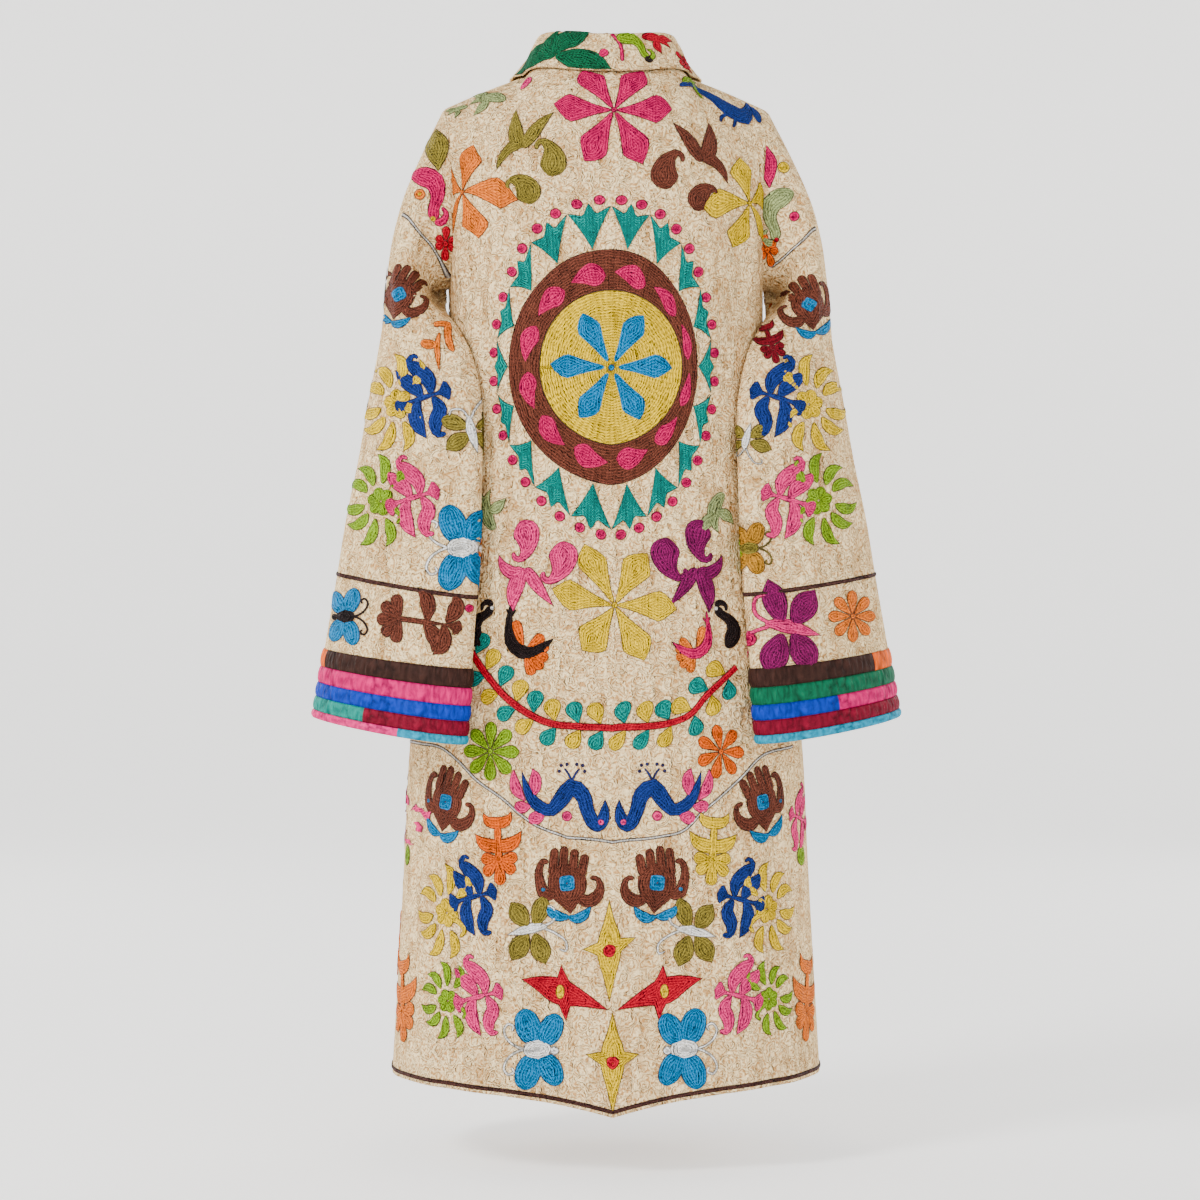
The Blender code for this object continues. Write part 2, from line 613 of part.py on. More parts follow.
def build():
    for old in list(bpy.data.objects):
        bpy.data.objects.remove(old)
    collection = bpy.data.collections.new("embroidered_coat")
    bpy.context.scene.collection.children.link(collection)
    body = body_grids()
    sleeves = sleeve_grids()
    grids = {**body, **sleeves, "collar": collar_grid()}
    normals = shared_normals(grids)
    half = CLOTH / 2
    seams = {
        "back_centre": ("first_column", "last_column", "last_row"),
        "side_back_left": ("first_column", "last_column"),
        "side_back_right": ("first_column", "last_column"),
        "front_left": ("first_column", "last_column", "last_row"),
        "front_right": ("first_column", "last_column", "last_row"),
        "collar": ("first_row",),
    }
    for name in ("side_back_left", "side_back_right"):
        for whole in (grids[name], normals[name]):
            whole[-1] = whole[-2] + (whole[-1] - whole[-2]) * SIDE_BACK_TIP
    for name in list(body) + ["collar"]:
        grid = drawn_in(grids[name], seams[name])
        out = normals[name] * half
        wall_object(name, grid + out, grid - out, False, CREAM, collection)
    for name, grid in sleeves.items():
        strip = next((s for s in CUFF_STRIPS if name.startswith("cuff_strip_" + s.name)), None)
        out = normals[name]
        if strip is None:
            grid = drawn_in(grid, ("first_row",))[:, :-1]
            out = out[:, :-1]
            wall_object(name, grid + out * half, grid - out * half, True, CREAM, collection)
            continue
        colour = strip.colour_left if name.endswith("left") else strip.colour_right
        edges = ("first_row",) if strip is CUFF_STRIPS[-1] else ("first_row", "last_row")
        grid = finer_round(drawn_in(grid, edges))[:, :-1]
        out = finer_round(out)[:, :-1]
        steps = np.arange(grid.shape[1])
        wave = 0.5 + 0.5 * np.cos(2 * math.pi * steps * CUFF_GATHERS / grid.shape[1])
        under = half + SEAM_GAP
        over = under + SILK + strip.swell * wave[None, :, None]
        wall_object(name, grid + out * over, grid + out * under, True, colour, collection)


build()
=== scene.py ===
# %% [markdown]
# # A long embroidered coat
# The coat hangs filled out, with nobody in it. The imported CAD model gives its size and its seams.
# This lesson dresses that model: cloth, chain-stitched motifs, cords along the hem, and silk strips round
# the cuffs. The frame comes first, because every piece has to lie where the CAD model says.

# %% Load the frame
import math
from collections import namedtuple

import bpy
import numpy as np
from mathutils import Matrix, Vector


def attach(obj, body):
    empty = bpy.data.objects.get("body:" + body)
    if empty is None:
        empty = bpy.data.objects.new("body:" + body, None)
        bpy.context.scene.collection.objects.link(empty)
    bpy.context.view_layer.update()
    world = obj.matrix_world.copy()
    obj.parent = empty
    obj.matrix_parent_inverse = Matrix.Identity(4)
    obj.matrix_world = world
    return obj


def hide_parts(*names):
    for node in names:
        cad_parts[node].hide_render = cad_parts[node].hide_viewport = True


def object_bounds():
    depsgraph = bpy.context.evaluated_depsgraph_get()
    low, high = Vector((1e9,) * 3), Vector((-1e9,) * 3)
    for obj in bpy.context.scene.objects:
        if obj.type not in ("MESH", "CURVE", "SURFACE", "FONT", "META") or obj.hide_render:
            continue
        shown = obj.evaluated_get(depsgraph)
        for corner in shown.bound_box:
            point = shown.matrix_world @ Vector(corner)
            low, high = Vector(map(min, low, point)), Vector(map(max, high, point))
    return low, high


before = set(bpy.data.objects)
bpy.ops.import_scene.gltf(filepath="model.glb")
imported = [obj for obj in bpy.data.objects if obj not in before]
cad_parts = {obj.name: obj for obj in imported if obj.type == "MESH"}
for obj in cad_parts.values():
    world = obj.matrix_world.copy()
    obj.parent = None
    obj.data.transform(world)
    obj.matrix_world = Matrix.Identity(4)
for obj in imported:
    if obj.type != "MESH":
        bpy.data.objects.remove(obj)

cad_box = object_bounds()
print("CAD box:", [[round(c, 4) for c in corner] for corner in cad_box])

# %% [markdown]
# ## The cut of the coat
# A tailor works from a few measures, and so does this script. Each table below is one measure of the cut,
# the same as in the part's source: rings of the body from hem to underarm, ovals of the sleeve from armhole
# to cuff, and the collar's height and reach round the neck. Surfaces are then functions of two numbers.

# %% Measures of the cut, in metres
CLOTH = 0.0022
UNDERARM_HEIGHT = -0.225
HEM_HEIGHT_SIDE = -1.042
HEM_DROP = {"back": 0.026, "front": 0.010}
HEM_V_SHARPNESS = 3.5
RING_SQUARENESS = 2.45
SHOULDER_TIP = (0.170, 0.000, -0.0391)
NECK_HALF_WIDTH = 0.075
NECK_BACK = 0.062
NECK_FRONT = 0.080
NECK_POINT_HEIGHT = -0.003
NECK_BACK_HEIGHT = -0.006
NECK_FRONT_HEIGHT = -0.078
SHOULDER_RISE = 0.0015
ARMHOLE_X_UNDERARM = 0.163
ARMHOLE_BACK_DEPTH = 0.056
ARMHOLE_FRONT_DEPTH = 0.060
ARMHOLE_HOLLOW = 0.006
OPENING_AT_NECK = 0.006
OPENING_AT_HEM = 0.030
NECK_SHARE = 0.5
NECK_POINT_SINK = 0.125
SECTION_STEPS = 180
ARMHOLE_BLEND = 0.30
SLEEVE_OFF_BODY = 0.006
CLEAR_FROM = 0.035
CLEAR_BLEND = 0.030
UNDERARM_STAND = 0.010
STAND_FIRST_SHARE = 0.012
STAND_LAST_SHARE = 0.2
PRINCESS_TOP = 4 / 14

BodyRing = namedtuple("BodyRing", "height half_width back_depth front_depth")
BODY_RINGS = [
    BodyRing(-1.042, 0.2225, 0.152, 0.142),
    BodyRing(-0.940, 0.2165, 0.148, 0.138),
    BodyRing(-0.820, 0.2100, 0.143, 0.133),
    BodyRing(-0.700, 0.2040, 0.138, 0.128),
    BodyRing(-0.590, 0.1910, 0.132, 0.122),
    BodyRing(-0.480, 0.1730, 0.124, 0.116),
    BodyRing(-0.390, 0.1640, 0.121, 0.117),
    BodyRing(-0.300, 0.1630, 0.123, 0.123),
    BodyRing(-0.225, 0.1630, 0.125, 0.120),
]

SleeveOval = namedtuple(
    "SleeveOval", "outer_x outer_y outer_z inner_x inner_y inner_z back_depth front_depth turn_deg"
)
SLEEVE_OVALS = [
    SleeveOval(0.1700, 0.000, -0.0391, 0.163, 0.000, -0.225, 0.056, 0.060, 0),
    SleeveOval(0.1880, 0.002, -0.0800, 0.174, 0.005, -0.230, 0.058, 0.058, 9),
    SleeveOval(0.2010, 0.003, -0.1220, 0.174, 0.024, -0.243, 0.056, 0.055, 18),
    SleeveOval(0.2080, 0.004, -0.1640, 0.166, 0.044, -0.256, 0.052, 0.051, 26),
    SleeveOval(0.2145, 0.005, -0.2040, 0.154, 0.063, -0.271, 0.047, 0.047, 33),
    SleeveOval(0.2215, 0.006, -0.2420, 0.144, 0.079, -0.291, 0.043, 0.043, 38),
    SleeveOval(0.2310, 0.008, -0.2880, 0.137, 0.092, -0.322, 0.038, 0.038, 40),
    SleeveOval(0.2425, 0.011, -0.3415, 0.134, 0.101, -0.362, 0.034, 0.034, 41),
    SleeveOval(0.2540, 0.014, -0.4045, 0.134, 0.107, -0.415, 0.032, 0.032, 41),
    SleeveOval(0.2672, 0.017, -0.4675, 0.135, 0.113, -0.475, 0.032, 0.032, 40),
    SleeveOval(0.2772, 0.020, -0.5305, 0.138, 0.120, -0.540, 0.033, 0.032, 39),
    SleeveOval(0.2877, 0.023, -0.5935, 0.143, 0.129, -0.612, 0.034, 0.032, 38),
    SleeveOval(0.3000, 0.027, -0.6710, 0.150, 0.140, -0.696, 0.036, 0.034, 37),
]

STRIP_HEIGHTS = (0.0180, 0.0165, 0.0145, 0.0140, 0.0080)

PrincessPoint = namedtuple("PrincessPoint", "height across")
PRINCESS_SEAM = [
    PrincessPoint(-1.045, 0.093),
    PrincessPoint(-0.900, 0.088),
    PrincessPoint(-0.780, 0.088),
    PrincessPoint(-0.640, 0.096),
    PrincessPoint(-0.480, 0.106),
    PrincessPoint(-0.340, 0.118),
    PrincessPoint(-0.225, 0.142),
]

CollarPoint = namedtuple("CollarPoint", "turn_deg stand_height stand_lean fall_reach")
COLLAR_POINTS = [
    CollarPoint(0, 0.0365, -0.004, 0.019),
    CollarPoint(45, 0.0350, -0.005, 0.022),
    CollarPoint(90, 0.0310, -0.007, 0.025),
    CollarPoint(130, 0.028, -0.009, 0.040),
    CollarPoint(160, 0.024, -0.007, 0.052),
    CollarPoint(180, 0.022, -0.004, 0.056),
]
COLLAR_CLEARANCE = 0.0050
COLLAR_FOLD_RADIUS = 0.0034
COLLAR_BELLY = 1.1
FALL_LIMIT = 0.062
FALL_STEP = 0.002
SLOPE_REACH = 0.006
CLOUD_COUNT = 90
CLOUD_FIRST_V = 1.35
CLOUD_LAST_F = 0.95

# %% [markdown]
# ## Folds and creases
# Heavy stitched cloth hardly drapes. It stands in a few long soft troughs and many short shallow creases.
# Each one here is a row of a table: where it starts and ends, how wide it is and how deep. A trough is a
# bell curve across and swells and dies along its length, so no simulation is needed.

# %% Folds of the body and sleeves
Fold = namedtuple("Fold", "side across_top height_top across_bottom height_bottom width depth")
BODY_FOLDS = [
    Fold("back", 0.150, -0.115, 0.140, -0.300, 0.016, 0.0090),
    Fold("back", 0.195, -0.560, 0.235, -1.060, 0.030, 0.0080),
    Fold("back", 0.060, -0.640, 0.062, -1.080, 0.034, 0.0040),
    Fold("front", 0.150, -0.120, 0.155, -0.300, 0.018, 0.0080),
    Fold("front", 0.085, -0.420, 0.110, -1.060, 0.032, 0.0080),
    Fold("front", 0.190, -0.520, 0.220, -1.060, 0.030, 0.0090),
    Fold("back", 0.020, -0.030, 0.014, -0.170, 0.010, 0.0012),
    Fold("back", 0.098, -0.060, 0.115, -0.210, 0.012, 0.0022),
    Fold("back", 0.062, -0.120, 0.070, -0.300, 0.011, 0.0013),
    Fold("back", 0.128, -0.250, 0.108, -0.420, 0.013, 0.0026),
    Fold("back", 0.158, -0.300, 0.132, -0.520, 0.014, 0.0024),
    Fold("back", 0.030, -0.380, 0.042, -0.600, 0.012, 0.0012),
    Fold("back", 0.078, -0.450, 0.066, -0.690, 0.013, 0.0016),
    Fold("back", 0.120, -0.560, 0.128, -0.860, 0.015, 0.0026),
    Fold("back", 0.160, -0.640, 0.170, -1.080, 0.018, 0.0034),
    Fold("back", 0.018, -0.700, 0.026, -0.960, 0.012, 0.0012),
    Fold("back", 0.104, -0.860, 0.112, -1.080, 0.013, 0.0022),
    Fold("back", 0.255, -0.540, 0.280, -1.080, 0.022, 0.0040),
    Fold("front", 0.035, -0.160, 0.040, -0.380, 0.013, 0.0014),
    Fold("front", 0.070, -0.110, 0.096, -0.300, 0.013, 0.0024),
    Fold("front", 0.120, -0.260, 0.104, -0.460, 0.014, 0.0022),
    Fold("front", 0.040, -0.430, 0.046, -0.760, 0.013, 0.0016),
    Fold("front", 0.150, -0.520, 0.160, -0.900, 0.017, 0.0030),
    Fold("front", 0.050, -0.700, 0.056, -1.060, 0.016, 0.0024),
    Fold("front", 0.250, -0.560, 0.275, -1.060, 0.020, 0.0036),
]

SleeveFold = namedtuple("SleeveFold", "turn_top_deg share_top turn_bottom_deg share_bottom width_deg depth")
SLEEVE_FOLDS = [
    SleeveFold(150, 0.05, 128, 0.42, 12, 0.0050),
    SleeveFold(112, 0.10, 104, 0.50, 10, 0.0026),
    SleeveFold(60, 0.12, 70, 0.48, 12, 0.0030),
    SleeveFold(30, 0.20, 42, 0.70, 12, 0.0032),
    SleeveFold(95, 0.40, 90, 0.86, 10, 0.0026),
    SleeveFold(135, 0.34, 145, 0.92, 12, 0.0034),
    SleeveFold(55, 0.50, 60, 0.95, 12, 0.0024),
    SleeveFold(210, 0.06, 228, 0.46, 13, 0.0050),
    SleeveFold(255, 0.14, 250, 0.60, 12, 0.0034),
    SleeveFold(300, 0.20, 290, 0.72, 13, 0.0036),
    SleeveFold(230, 0.50, 222, 0.96, 12, 0.0036),
    SleeveFold(270, 0.52, 275, 0.96, 11, 0.0026),
    SleeveFold(330, 0.34, 322, 0.92, 12, 0.0030),
]
print(len(BODY_FOLDS), "body folds,", len(SLEEVE_FOLDS), "sleeve folds")

# %% Reading a table smoothly
def smooth(xs, ys, at):
    """A cubic through (xs, ys): each point keeps its value, and its slope is that between its neighbours."""
    xs = np.asarray(xs, float)
    ys = np.asarray(ys, float)
    flat = ys.reshape(len(xs), -1)
    slopes = np.gradient(flat, xs, axis=0)
    at = np.clip(np.asarray(at, float), xs[0], xs[-1])
    i = np.clip(np.searchsorted(xs, at, side="right") - 1, 0, len(xs) - 2)
    step = (xs[i + 1] - xs[i])[..., None]
    t = (at - xs[i])[..., None] / step
    value = (
        flat[i] * (1 + 2 * t) * (1 - t) ** 2
        + slopes[i] * step * t * (1 - t) ** 2
        + flat[i + 1] * t * t * (3 - 2 * t)
        - slopes[i + 1] * step * t * t * (1 - t)
    )
    return value.reshape(at.shape + ys.shape[1:])


def field(table, name):
    """One named column of a table, as an array."""
    return np.array([getattr(row, name) for row in table], float)


# %% The body's surface
def neckline(turn):
    """The neck seam: half an ellipse behind and a deeper one in front, sinking with the cube of the turn."""
    turn = np.asarray(turn, float)
    forward = (1 - np.cos(turn)) / 2
    depth = np.where(np.cos(turn) > 0, NECK_BACK, NECK_FRONT)
    drop = NECK_POINT_HEIGHT - NECK_FRONT_HEIGHT
    rise = NECK_POINT_HEIGHT + NECK_POINT_SINK * drop / (1 - NECK_POINT_SINK)
    z = rise + (NECK_FRONT_HEIGHT - rise) * forward**3
    z = z + np.clip(np.cos(turn), 0, 1) ** 2 * (NECK_BACK_HEIGHT - rise)
    return np.stack([NECK_HALF_WIDTH * np.sin(turn), depth * np.cos(turn), z], -1)


def shoulder_seam(share):
    """A straight line from neck point to shoulder tip, raised by a shallow parabola."""
    share = np.asarray(share, float)[..., None]
    start = neckline(math.pi / 2)
    line = start + (np.array(SHOULDER_TIP) - start) * share
    line[..., 2] += 4 * SHOULDER_RISE * share[..., 0] * (1 - share[..., 0])
    return line


def opening_half(height):
    """Half the gap between the fronts: it grows with the power 1.5 of the way from neck to hem."""
    share = (NECK_FRONT_HEIGHT - height) / (NECK_FRONT_HEIGHT - HEM_HEIGHT_SIDE)
    return 0.5 * (OPENING_AT_NECK + (OPENING_AT_HEM - OPENING_AT_NECK) * np.clip(share, 0, 1) ** 1.5)


LAST_NECK_TURN = math.pi - math.asin(0.5 * OPENING_AT_NECK / NECK_HALF_WIDTH)


def top_edge(side, f):
    """The upper edge of a half panel: the neckline for f up to NECK_SHARE, then the shoulder seam."""
    f = np.asarray(f, float)
    along = np.clip(f / NECK_SHARE, 0, 1)
    turn = along * math.pi / 2 if side == "back" else LAST_NECK_TURN + (math.pi / 2 - LAST_NECK_TURN) * along
    on_shoulder = shoulder_seam(np.clip((f - NECK_SHARE) / (1 - NECK_SHARE), 0, 1))
    return np.where((f <= NECK_SHARE)[..., None], neckline(turn), on_shoulder)


def armhole(turn):
    """The armhole seam: an upright oval, pulled in towards the body at its front and back."""
    turn = np.asarray(turn, float)
    top = SHOULDER_TIP[2]
    middle = (top + UNDERARM_HEIGHT) / 2
    depth = np.where(np.sin(turn) > 0, ARMHOLE_BACK_DEPTH, ARMHOLE_FRONT_DEPTH)
    x = (
        (SHOULDER_TIP[0] + ARMHOLE_X_UNDERARM) / 2
        + (SHOULDER_TIP[0] - ARMHOLE_X_UNDERARM) / 2 * np.cos(turn)
        - ARMHOLE_HOLLOW * np.abs(np.sin(turn))
    )
    return np.stack([x, depth * np.sin(turn), middle + (top - middle) * np.cos(turn)], -1)


def section(side, height, f):
    """A level ring, |x/a|^n + |y/b|^n = 1, read at the share f of its own length from centre to side seam."""
    heights = field(BODY_RINGS, "height")
    half = smooth(heights, field(BODY_RINGS, "half_width"), height)
    depth = smooth(heights, field(BODY_RINGS, side + "_depth"), height)
    start = np.zeros_like(half) if side == "back" else opening_half(height)
    sign = 1.0 if side == "back" else -1.0
    first = np.arcsin(np.clip(start / half, 0, 1) ** (RING_SQUARENESS / 2))
    angle = first[:, None] + (math.pi / 2 - first[:, None]) * np.linspace(0, 1, SECTION_STEPS + 1)
    x = half[:, None] * np.sin(angle) ** (2 / RING_SQUARENESS)
    y = depth[:, None] * np.cos(angle) ** (2 / RING_SQUARENESS)
    y[:, -1] = 0.0
    length = np.cumsum(np.hypot(np.diff(x, axis=1), np.diff(y, axis=1)), axis=1)
    length = np.hstack([np.zeros((len(x), 1)), length])
    out = np.empty(f.shape + (2,))
    for row, run in enumerate(length):
        out[row, :, 0] = np.interp(f[row] * run[-1], run, x[row])
        out[row, :, 1] = sign * np.interp(f[row] * run[-1], run, y[row])
    return out, length[:, -1]


def fold_depth(side, across, height):
    """The sum of all troughs at a point: depth times a bell curve across, times a sine swell along."""
    sink = np.zeros_like(across)
    for fold in BODY_FOLDS:
        if fold.side != side:
            continue
        t = np.clip((height - fold.height_top) / (fold.height_bottom - fold.height_top), 0, 1)
        line = fold.across_top + (fold.across_bottom - fold.across_top) * t
        reaches_hem = fold.height_bottom < HEM_HEIGHT_SIDE
        swell = np.sin(t * (math.pi / 2 if reaches_hem else math.pi)) ** 1.5
        sink += fold.depth * swell * np.exp(-(((across - line) / fold.width) ** 2))
    return sink


def body_half(side, f, v):
    """The half body on +X. v is 0 at the hem, 1 at the underarm ring and 2 at neck and shoulder: level rings
    below, and above them a patch that rises first and then leans in, with its outer edge on the armhole."""
    low = np.clip(v, 0, 1)
    nominal = HEM_HEIGHT_SIDE + (UNDERARM_HEIGHT - HEM_HEIGHT_SIDE) * low[:, 0]
    flat, length = section(side, nominal, f)
    hem = HEM_HEIGHT_SIDE - HEM_DROP[side] * (1 - f) ** HEM_V_SHARPNESS
    height = hem + (UNDERARM_HEIGHT - hem) * low
    skirt = np.concatenate([flat, height[..., None]], -1)
    w = np.clip(v - 1, 0, 1)
    quarter = w * math.pi / 2
    ease = np.stack([1 - np.cos(quarter), 1 - np.cos(quarter), np.sin(quarter)], -1)
    upper = skirt + (top_edge(side, f) - skirt) * ease
    edge_low = np.array([ARMHOLE_X_UNDERARM, 0.0, UNDERARM_HEIGHT])
    plain_edge = edge_low + (np.array(SHOULDER_TIP) - edge_low) * ease
    turn = math.pi * (1 - w) if side == "back" else math.pi * (1 + w)
    upper = upper + (f**3)[..., None] * (armhole(turn) - plain_edge)
    points = np.where((v > 1)[..., None], upper, skirt)
    sink = fold_depth(side, f * length[:, None], points[..., 2])
    sink = sink * (1 - f**6) * np.clip(3 * (2 - v), 0, 1)
    points[..., 1] -= np.sign(points[..., 1]) * sink
    return points


def princess_share(v):
    """The princess seam as a share of the half back: from the table below the underarm, then out to
    the armhole."""
    nominal = HEM_HEIGHT_SIDE + (UNDERARM_HEIGHT - HEM_HEIGHT_SIDE) * np.clip(v, 0, 1)
    across = smooth(field(PRINCESS_SEAM, "height"), field(PRINCESS_SEAM, "across"), nominal)
    _, length = section("back", nominal, np.zeros((len(v), 1)))
    share = across / length
    _, at_underarm = section("back", np.array([UNDERARM_HEIGHT]), np.zeros((1, 1)))
    start = PRINCESS_SEAM[-1].across / at_underarm[0]
    rise = np.clip((v - 1) / PRINCESS_TOP, 0, 1)
    return np.where(v > 1, start + (1 - start) * rise**1.3, share)


# %% The sleeve's surface
OUTER_LINE = np.array([[s.outer_x, s.outer_y, s.outer_z] for s in SLEEVE_OVALS])
INNER_LINE = np.array([[s.inner_x, s.inner_y, s.inner_z] for s in SLEEVE_OVALS])
OUTER_RUN = np.concatenate([[0.0], np.cumsum(np.linalg.norm(np.diff(OUTER_LINE, axis=0), axis=1))])
SLEEVE_LENGTH = float(OUTER_RUN[-1])
SLEEVE_KNOTS = OUTER_RUN / SLEEVE_LENGTH
print("sleeve length:", round(SLEEVE_LENGTH, 3), "m")


def plain_sleeve(turn, share):
    """An oval at each share of the length: centre + half the outer-inner line * cos + a level half
    depth * sin."""
    o = smooth(SLEEVE_KNOTS, OUTER_LINE, share)
    i = smooth(SLEEVE_KNOTS, INNER_LINE, share)
    behind = smooth(SLEEVE_KNOTS, field(SLEEVE_OVALS, "back_depth"), share)
    ahead = smooth(SLEEVE_KNOTS, field(SLEEVE_OVALS, "front_depth"), share)
    yaw = np.radians(smooth(SLEEVE_KNOTS, field(SLEEVE_OVALS, "turn_deg"), share))
    major = (o - i) / np.linalg.norm(o - i, axis=1)[:, None]
    minor = np.stack([np.sin(yaw), np.cos(yaw), np.zeros_like(yaw)], -1)
    minor -= major * (minor * major).sum(1)[:, None]
    minor /= np.linalg.norm(minor, axis=1)[:, None]
    sine = np.sin(turn)[None, :, None]
    depth = np.where(sine > 0, behind[:, None, None], ahead[:, None, None])
    centre = (o + i)[:, None] / 2
    return centre + (o - i)[:, None] / 2 * np.cos(turn)[None, :, None] + minor[:, None] * depth * sine


def clear_of_body(points, margin):
    """Points inside the body's ring and margin move straight out to it, by the ring's own power formula."""
    height = np.clip(points[..., 2], HEM_HEIGHT_SIDE, UNDERARM_HEIGHT)
    heights = field(BODY_RINGS, "height")
    half = smooth(heights, field(BODY_RINGS, "half_width"), height) + margin
    behind = smooth(heights, field(BODY_RINGS, "back_depth"), height) + margin
    ahead = smooth(heights, field(BODY_RINGS, "front_depth"), height) + margin
    depth = np.where(points[..., 1] > 0, behind, ahead)
    n = RING_SQUARENESS
    inside = (np.abs(points[..., 0]) / half) ** n + (np.abs(points[..., 1]) / depth) ** n
    factor = np.maximum(1.0, inside ** (-1 / n))
    low = np.clip((UNDERARM_HEIGHT + CLEAR_FROM - points[..., 2]) / CLEAR_BLEND, 0, 1)
    factor = 1 + (factor - 1) * low * (margin > 0)
    return points * np.stack([factor, factor, np.ones_like(factor)], -1)


def sleeve_points(turn, share):
    """The +X sleeve: plain ovals, drawn to the armhole seam near their start, sunk by the folds and kept
    clear of the body."""
    plain = plain_sleeve(turn, share)
    start = plain_sleeve(turn, np.array([0.0]))
    fade = np.clip(1 - share / ARMHOLE_BLEND, 0, 1)[:, None, None] ** 2
    ring = plain + (armhole(turn) - start) * fade
    leaving = (1 - np.exp(-share / STAND_FIRST_SHARE)) * np.exp(-((share / STAND_LAST_SHARE) ** 2))
    ring[..., 0] += UNDERARM_STAND * leaving[:, None] * np.clip(0.2 - np.cos(turn), 0, 1)[None]
    sink = np.zeros(ring.shape[:2])
    degrees = np.degrees(turn)[None, :]
    for fold in SLEEVE_FOLDS:
        t = np.clip((share - fold.share_top) / (fold.share_bottom - fold.share_top), 0, 1)[:, None]
        line = fold.turn_top_deg + (fold.turn_bottom_deg - fold.turn_top_deg) * t
        sink += fold.depth * np.sin(t * math.pi) ** 1.5 * np.exp(-(((degrees - line) / fold.width_deg) ** 2))
    inward = ring.mean(1, keepdims=True) - ring
    inward /= np.maximum(np.linalg.norm(inward, axis=2), 1e-9)[..., None]
    ring = ring + inward * sink[..., None]
    margin = SLEEVE_OFF_BODY * np.clip(share / 0.05, 0, 1)[:, None] * np.ones(len(turn))
    return clear_of_body(ring, margin)


STRIP_ENDS = 1 - np.concatenate([np.cumsum(STRIP_HEIGHTS[::-1])[::-1], [0.0]]) / SLEEVE_LENGTH


# %% The collar's surface
def shoulder_cloud():
    """Many points of the body round the neck, as the ground that the collar's fall rests on."""
    v = np.repeat(np.linspace(CLOUD_FIRST_V, 2.0, CLOUD_COUNT)[:, None], CLOUD_COUNT, 1)
    f = np.repeat(np.linspace(0.0, CLOUD_LAST_F, CLOUD_COUNT)[None], CLOUD_COUNT, 0)
    return np.concatenate([body_half(side, f, v).reshape(-1, 3) for side in ("back", "front")])


def cloth_height(cloud, at):
    """The height of the body at places seen from above: the mean of the four nearest points, weighed by
    1 / distance^2."""
    away = ((at[:, None, :] - cloud[None, :, :2]) ** 2).sum(-1)
    nearest = np.argpartition(away, 4, axis=1)[:, :4]
    weight = 1 / (np.take_along_axis(away, nearest, axis=1) + 1e-9)
    return (cloud[nearest, 2] * weight).sum(1) / weight.sum(1)


def collar_profile(turn):
    """The collar at each turn round the neck: up the stand, half a circle over the fold, down the fall."""
    degrees = np.degrees(turn)
    angles = field(COLLAR_POINTS, "turn_deg")
    stand = smooth(angles, field(COLLAR_POINTS, "stand_height"), degrees)
    lean = smooth(angles, field(COLLAR_POINTS, "stand_lean"), degrees)
    reach = smooth(angles, field(COLLAR_POINTS, "fall_reach"), degrees)
    seam = neckline(turn)
    along = neckline(turn + 0.01) - neckline(turn - 0.01)
    outward = np.stack([-along[:, 1], along[:, 0], np.zeros(len(turn))], -1)
    outward /= np.linalg.norm(outward, axis=1)[:, None]
    up = np.array([0.0, 0.0, 1.0])
    fold = seam + outward * lean[:, None] + up * stand[:, None]
    radius = COLLAR_FOLD_RADIUS
    rows = [seam, seam + (fold - seam) * 0.45 + outward * 0.001, fold - up * radius]
    for angle in (30, 60, 90, 120, 150):
        swing = math.radians(angle)
        rows.append(fold + outward * radius * (1 - math.cos(swing)) - up * radius * (1 - math.sin(swing)))
    fall_top = fold + outward * 2 * radius - up * radius
    rows.append(fall_top)
    steps = np.arange(0, FALL_LIMIT, FALL_STEP)
    places = seam[:, None, :2] + outward[:, None, :2] * steps[None, :, None]
    heights = cloth_height(shoulder_cloud(), places.reshape(-1, 2)).reshape(len(turn), -1)
    heights[:, 0] = seam[:, 2]
    run = np.cumsum(np.hypot(FALL_STEP, np.diff(heights, axis=1)), axis=1)
    run = np.hstack([np.zeros((len(turn), 1)), run])
    for share in (0.15, 0.3, 0.45, 0.6, 0.75, 0.9, 1.0):
        rest = np.empty((len(turn), 3))
        for i in range(len(turn)):
            out_by = np.interp(reach[i] * share, run[i], steps)
            spots = [out_by, out_by + SLOPE_REACH, out_by - SLOPE_REACH]
            here, above, below = np.interp(spots, steps, heights[i])
            slope = (above - below) / (2 * SLOPE_REACH)
            lift = COLLAR_CLEARANCE * share / math.hypot(1, slope)
            rest[i] = seam[i] + outward[i] * (out_by - slope * lift)
            rest[i, 2] = here + lift
        rows.append(rest + (fall_top - seam) * (1 - share) ** COLLAR_BELLY)
    return np.stack(rows)


# %% [markdown]
# ## Sampled surfaces
# Motifs, cords and cloth all have to lie on one and the same surface. So each surface is sampled once on a
# fine grid, and everything else looks its place up there. A place is a pair (p, q): p runs across or round,
# and q runs up, or down a sleeve. On the body both are metres, on a sleeve both are shares, and on the
# collar p is a turn and q a share.

# %% Surface grids
Surface = namedtuple("Surface", "name points normals p_first p_step q_first q_step wraps")


def normals_of(points, wraps=False):
    """The unit normal at each point of a grid: the cross product of its two directions."""
    if wraps:
        ring = np.concatenate([points[:, -2:-1], points, points[:, 1:2]], 1)
        dp = (ring[:, 2:] - ring[:, :-2]) / 2
    else:
        dp = np.gradient(points, axis=1)
    dq = np.gradient(points, axis=0)
    cross = np.cross(dp, dq)
    size = np.linalg.norm(cross, axis=2)
    return cross / np.maximum(size, 1e-12)[..., None]


GRID_STEP = 0.003
WIDEST_HALF = 0.330
MIDDLE_COLUMN = 0.45
SAMPLES_UP = 421
SAMPLES_ACROSS = 61
SLEEVE_ROUND = 180
SLEEVE_DOWN = 260
COLLAR_ROUND = 119
COLLAR_UP = 39


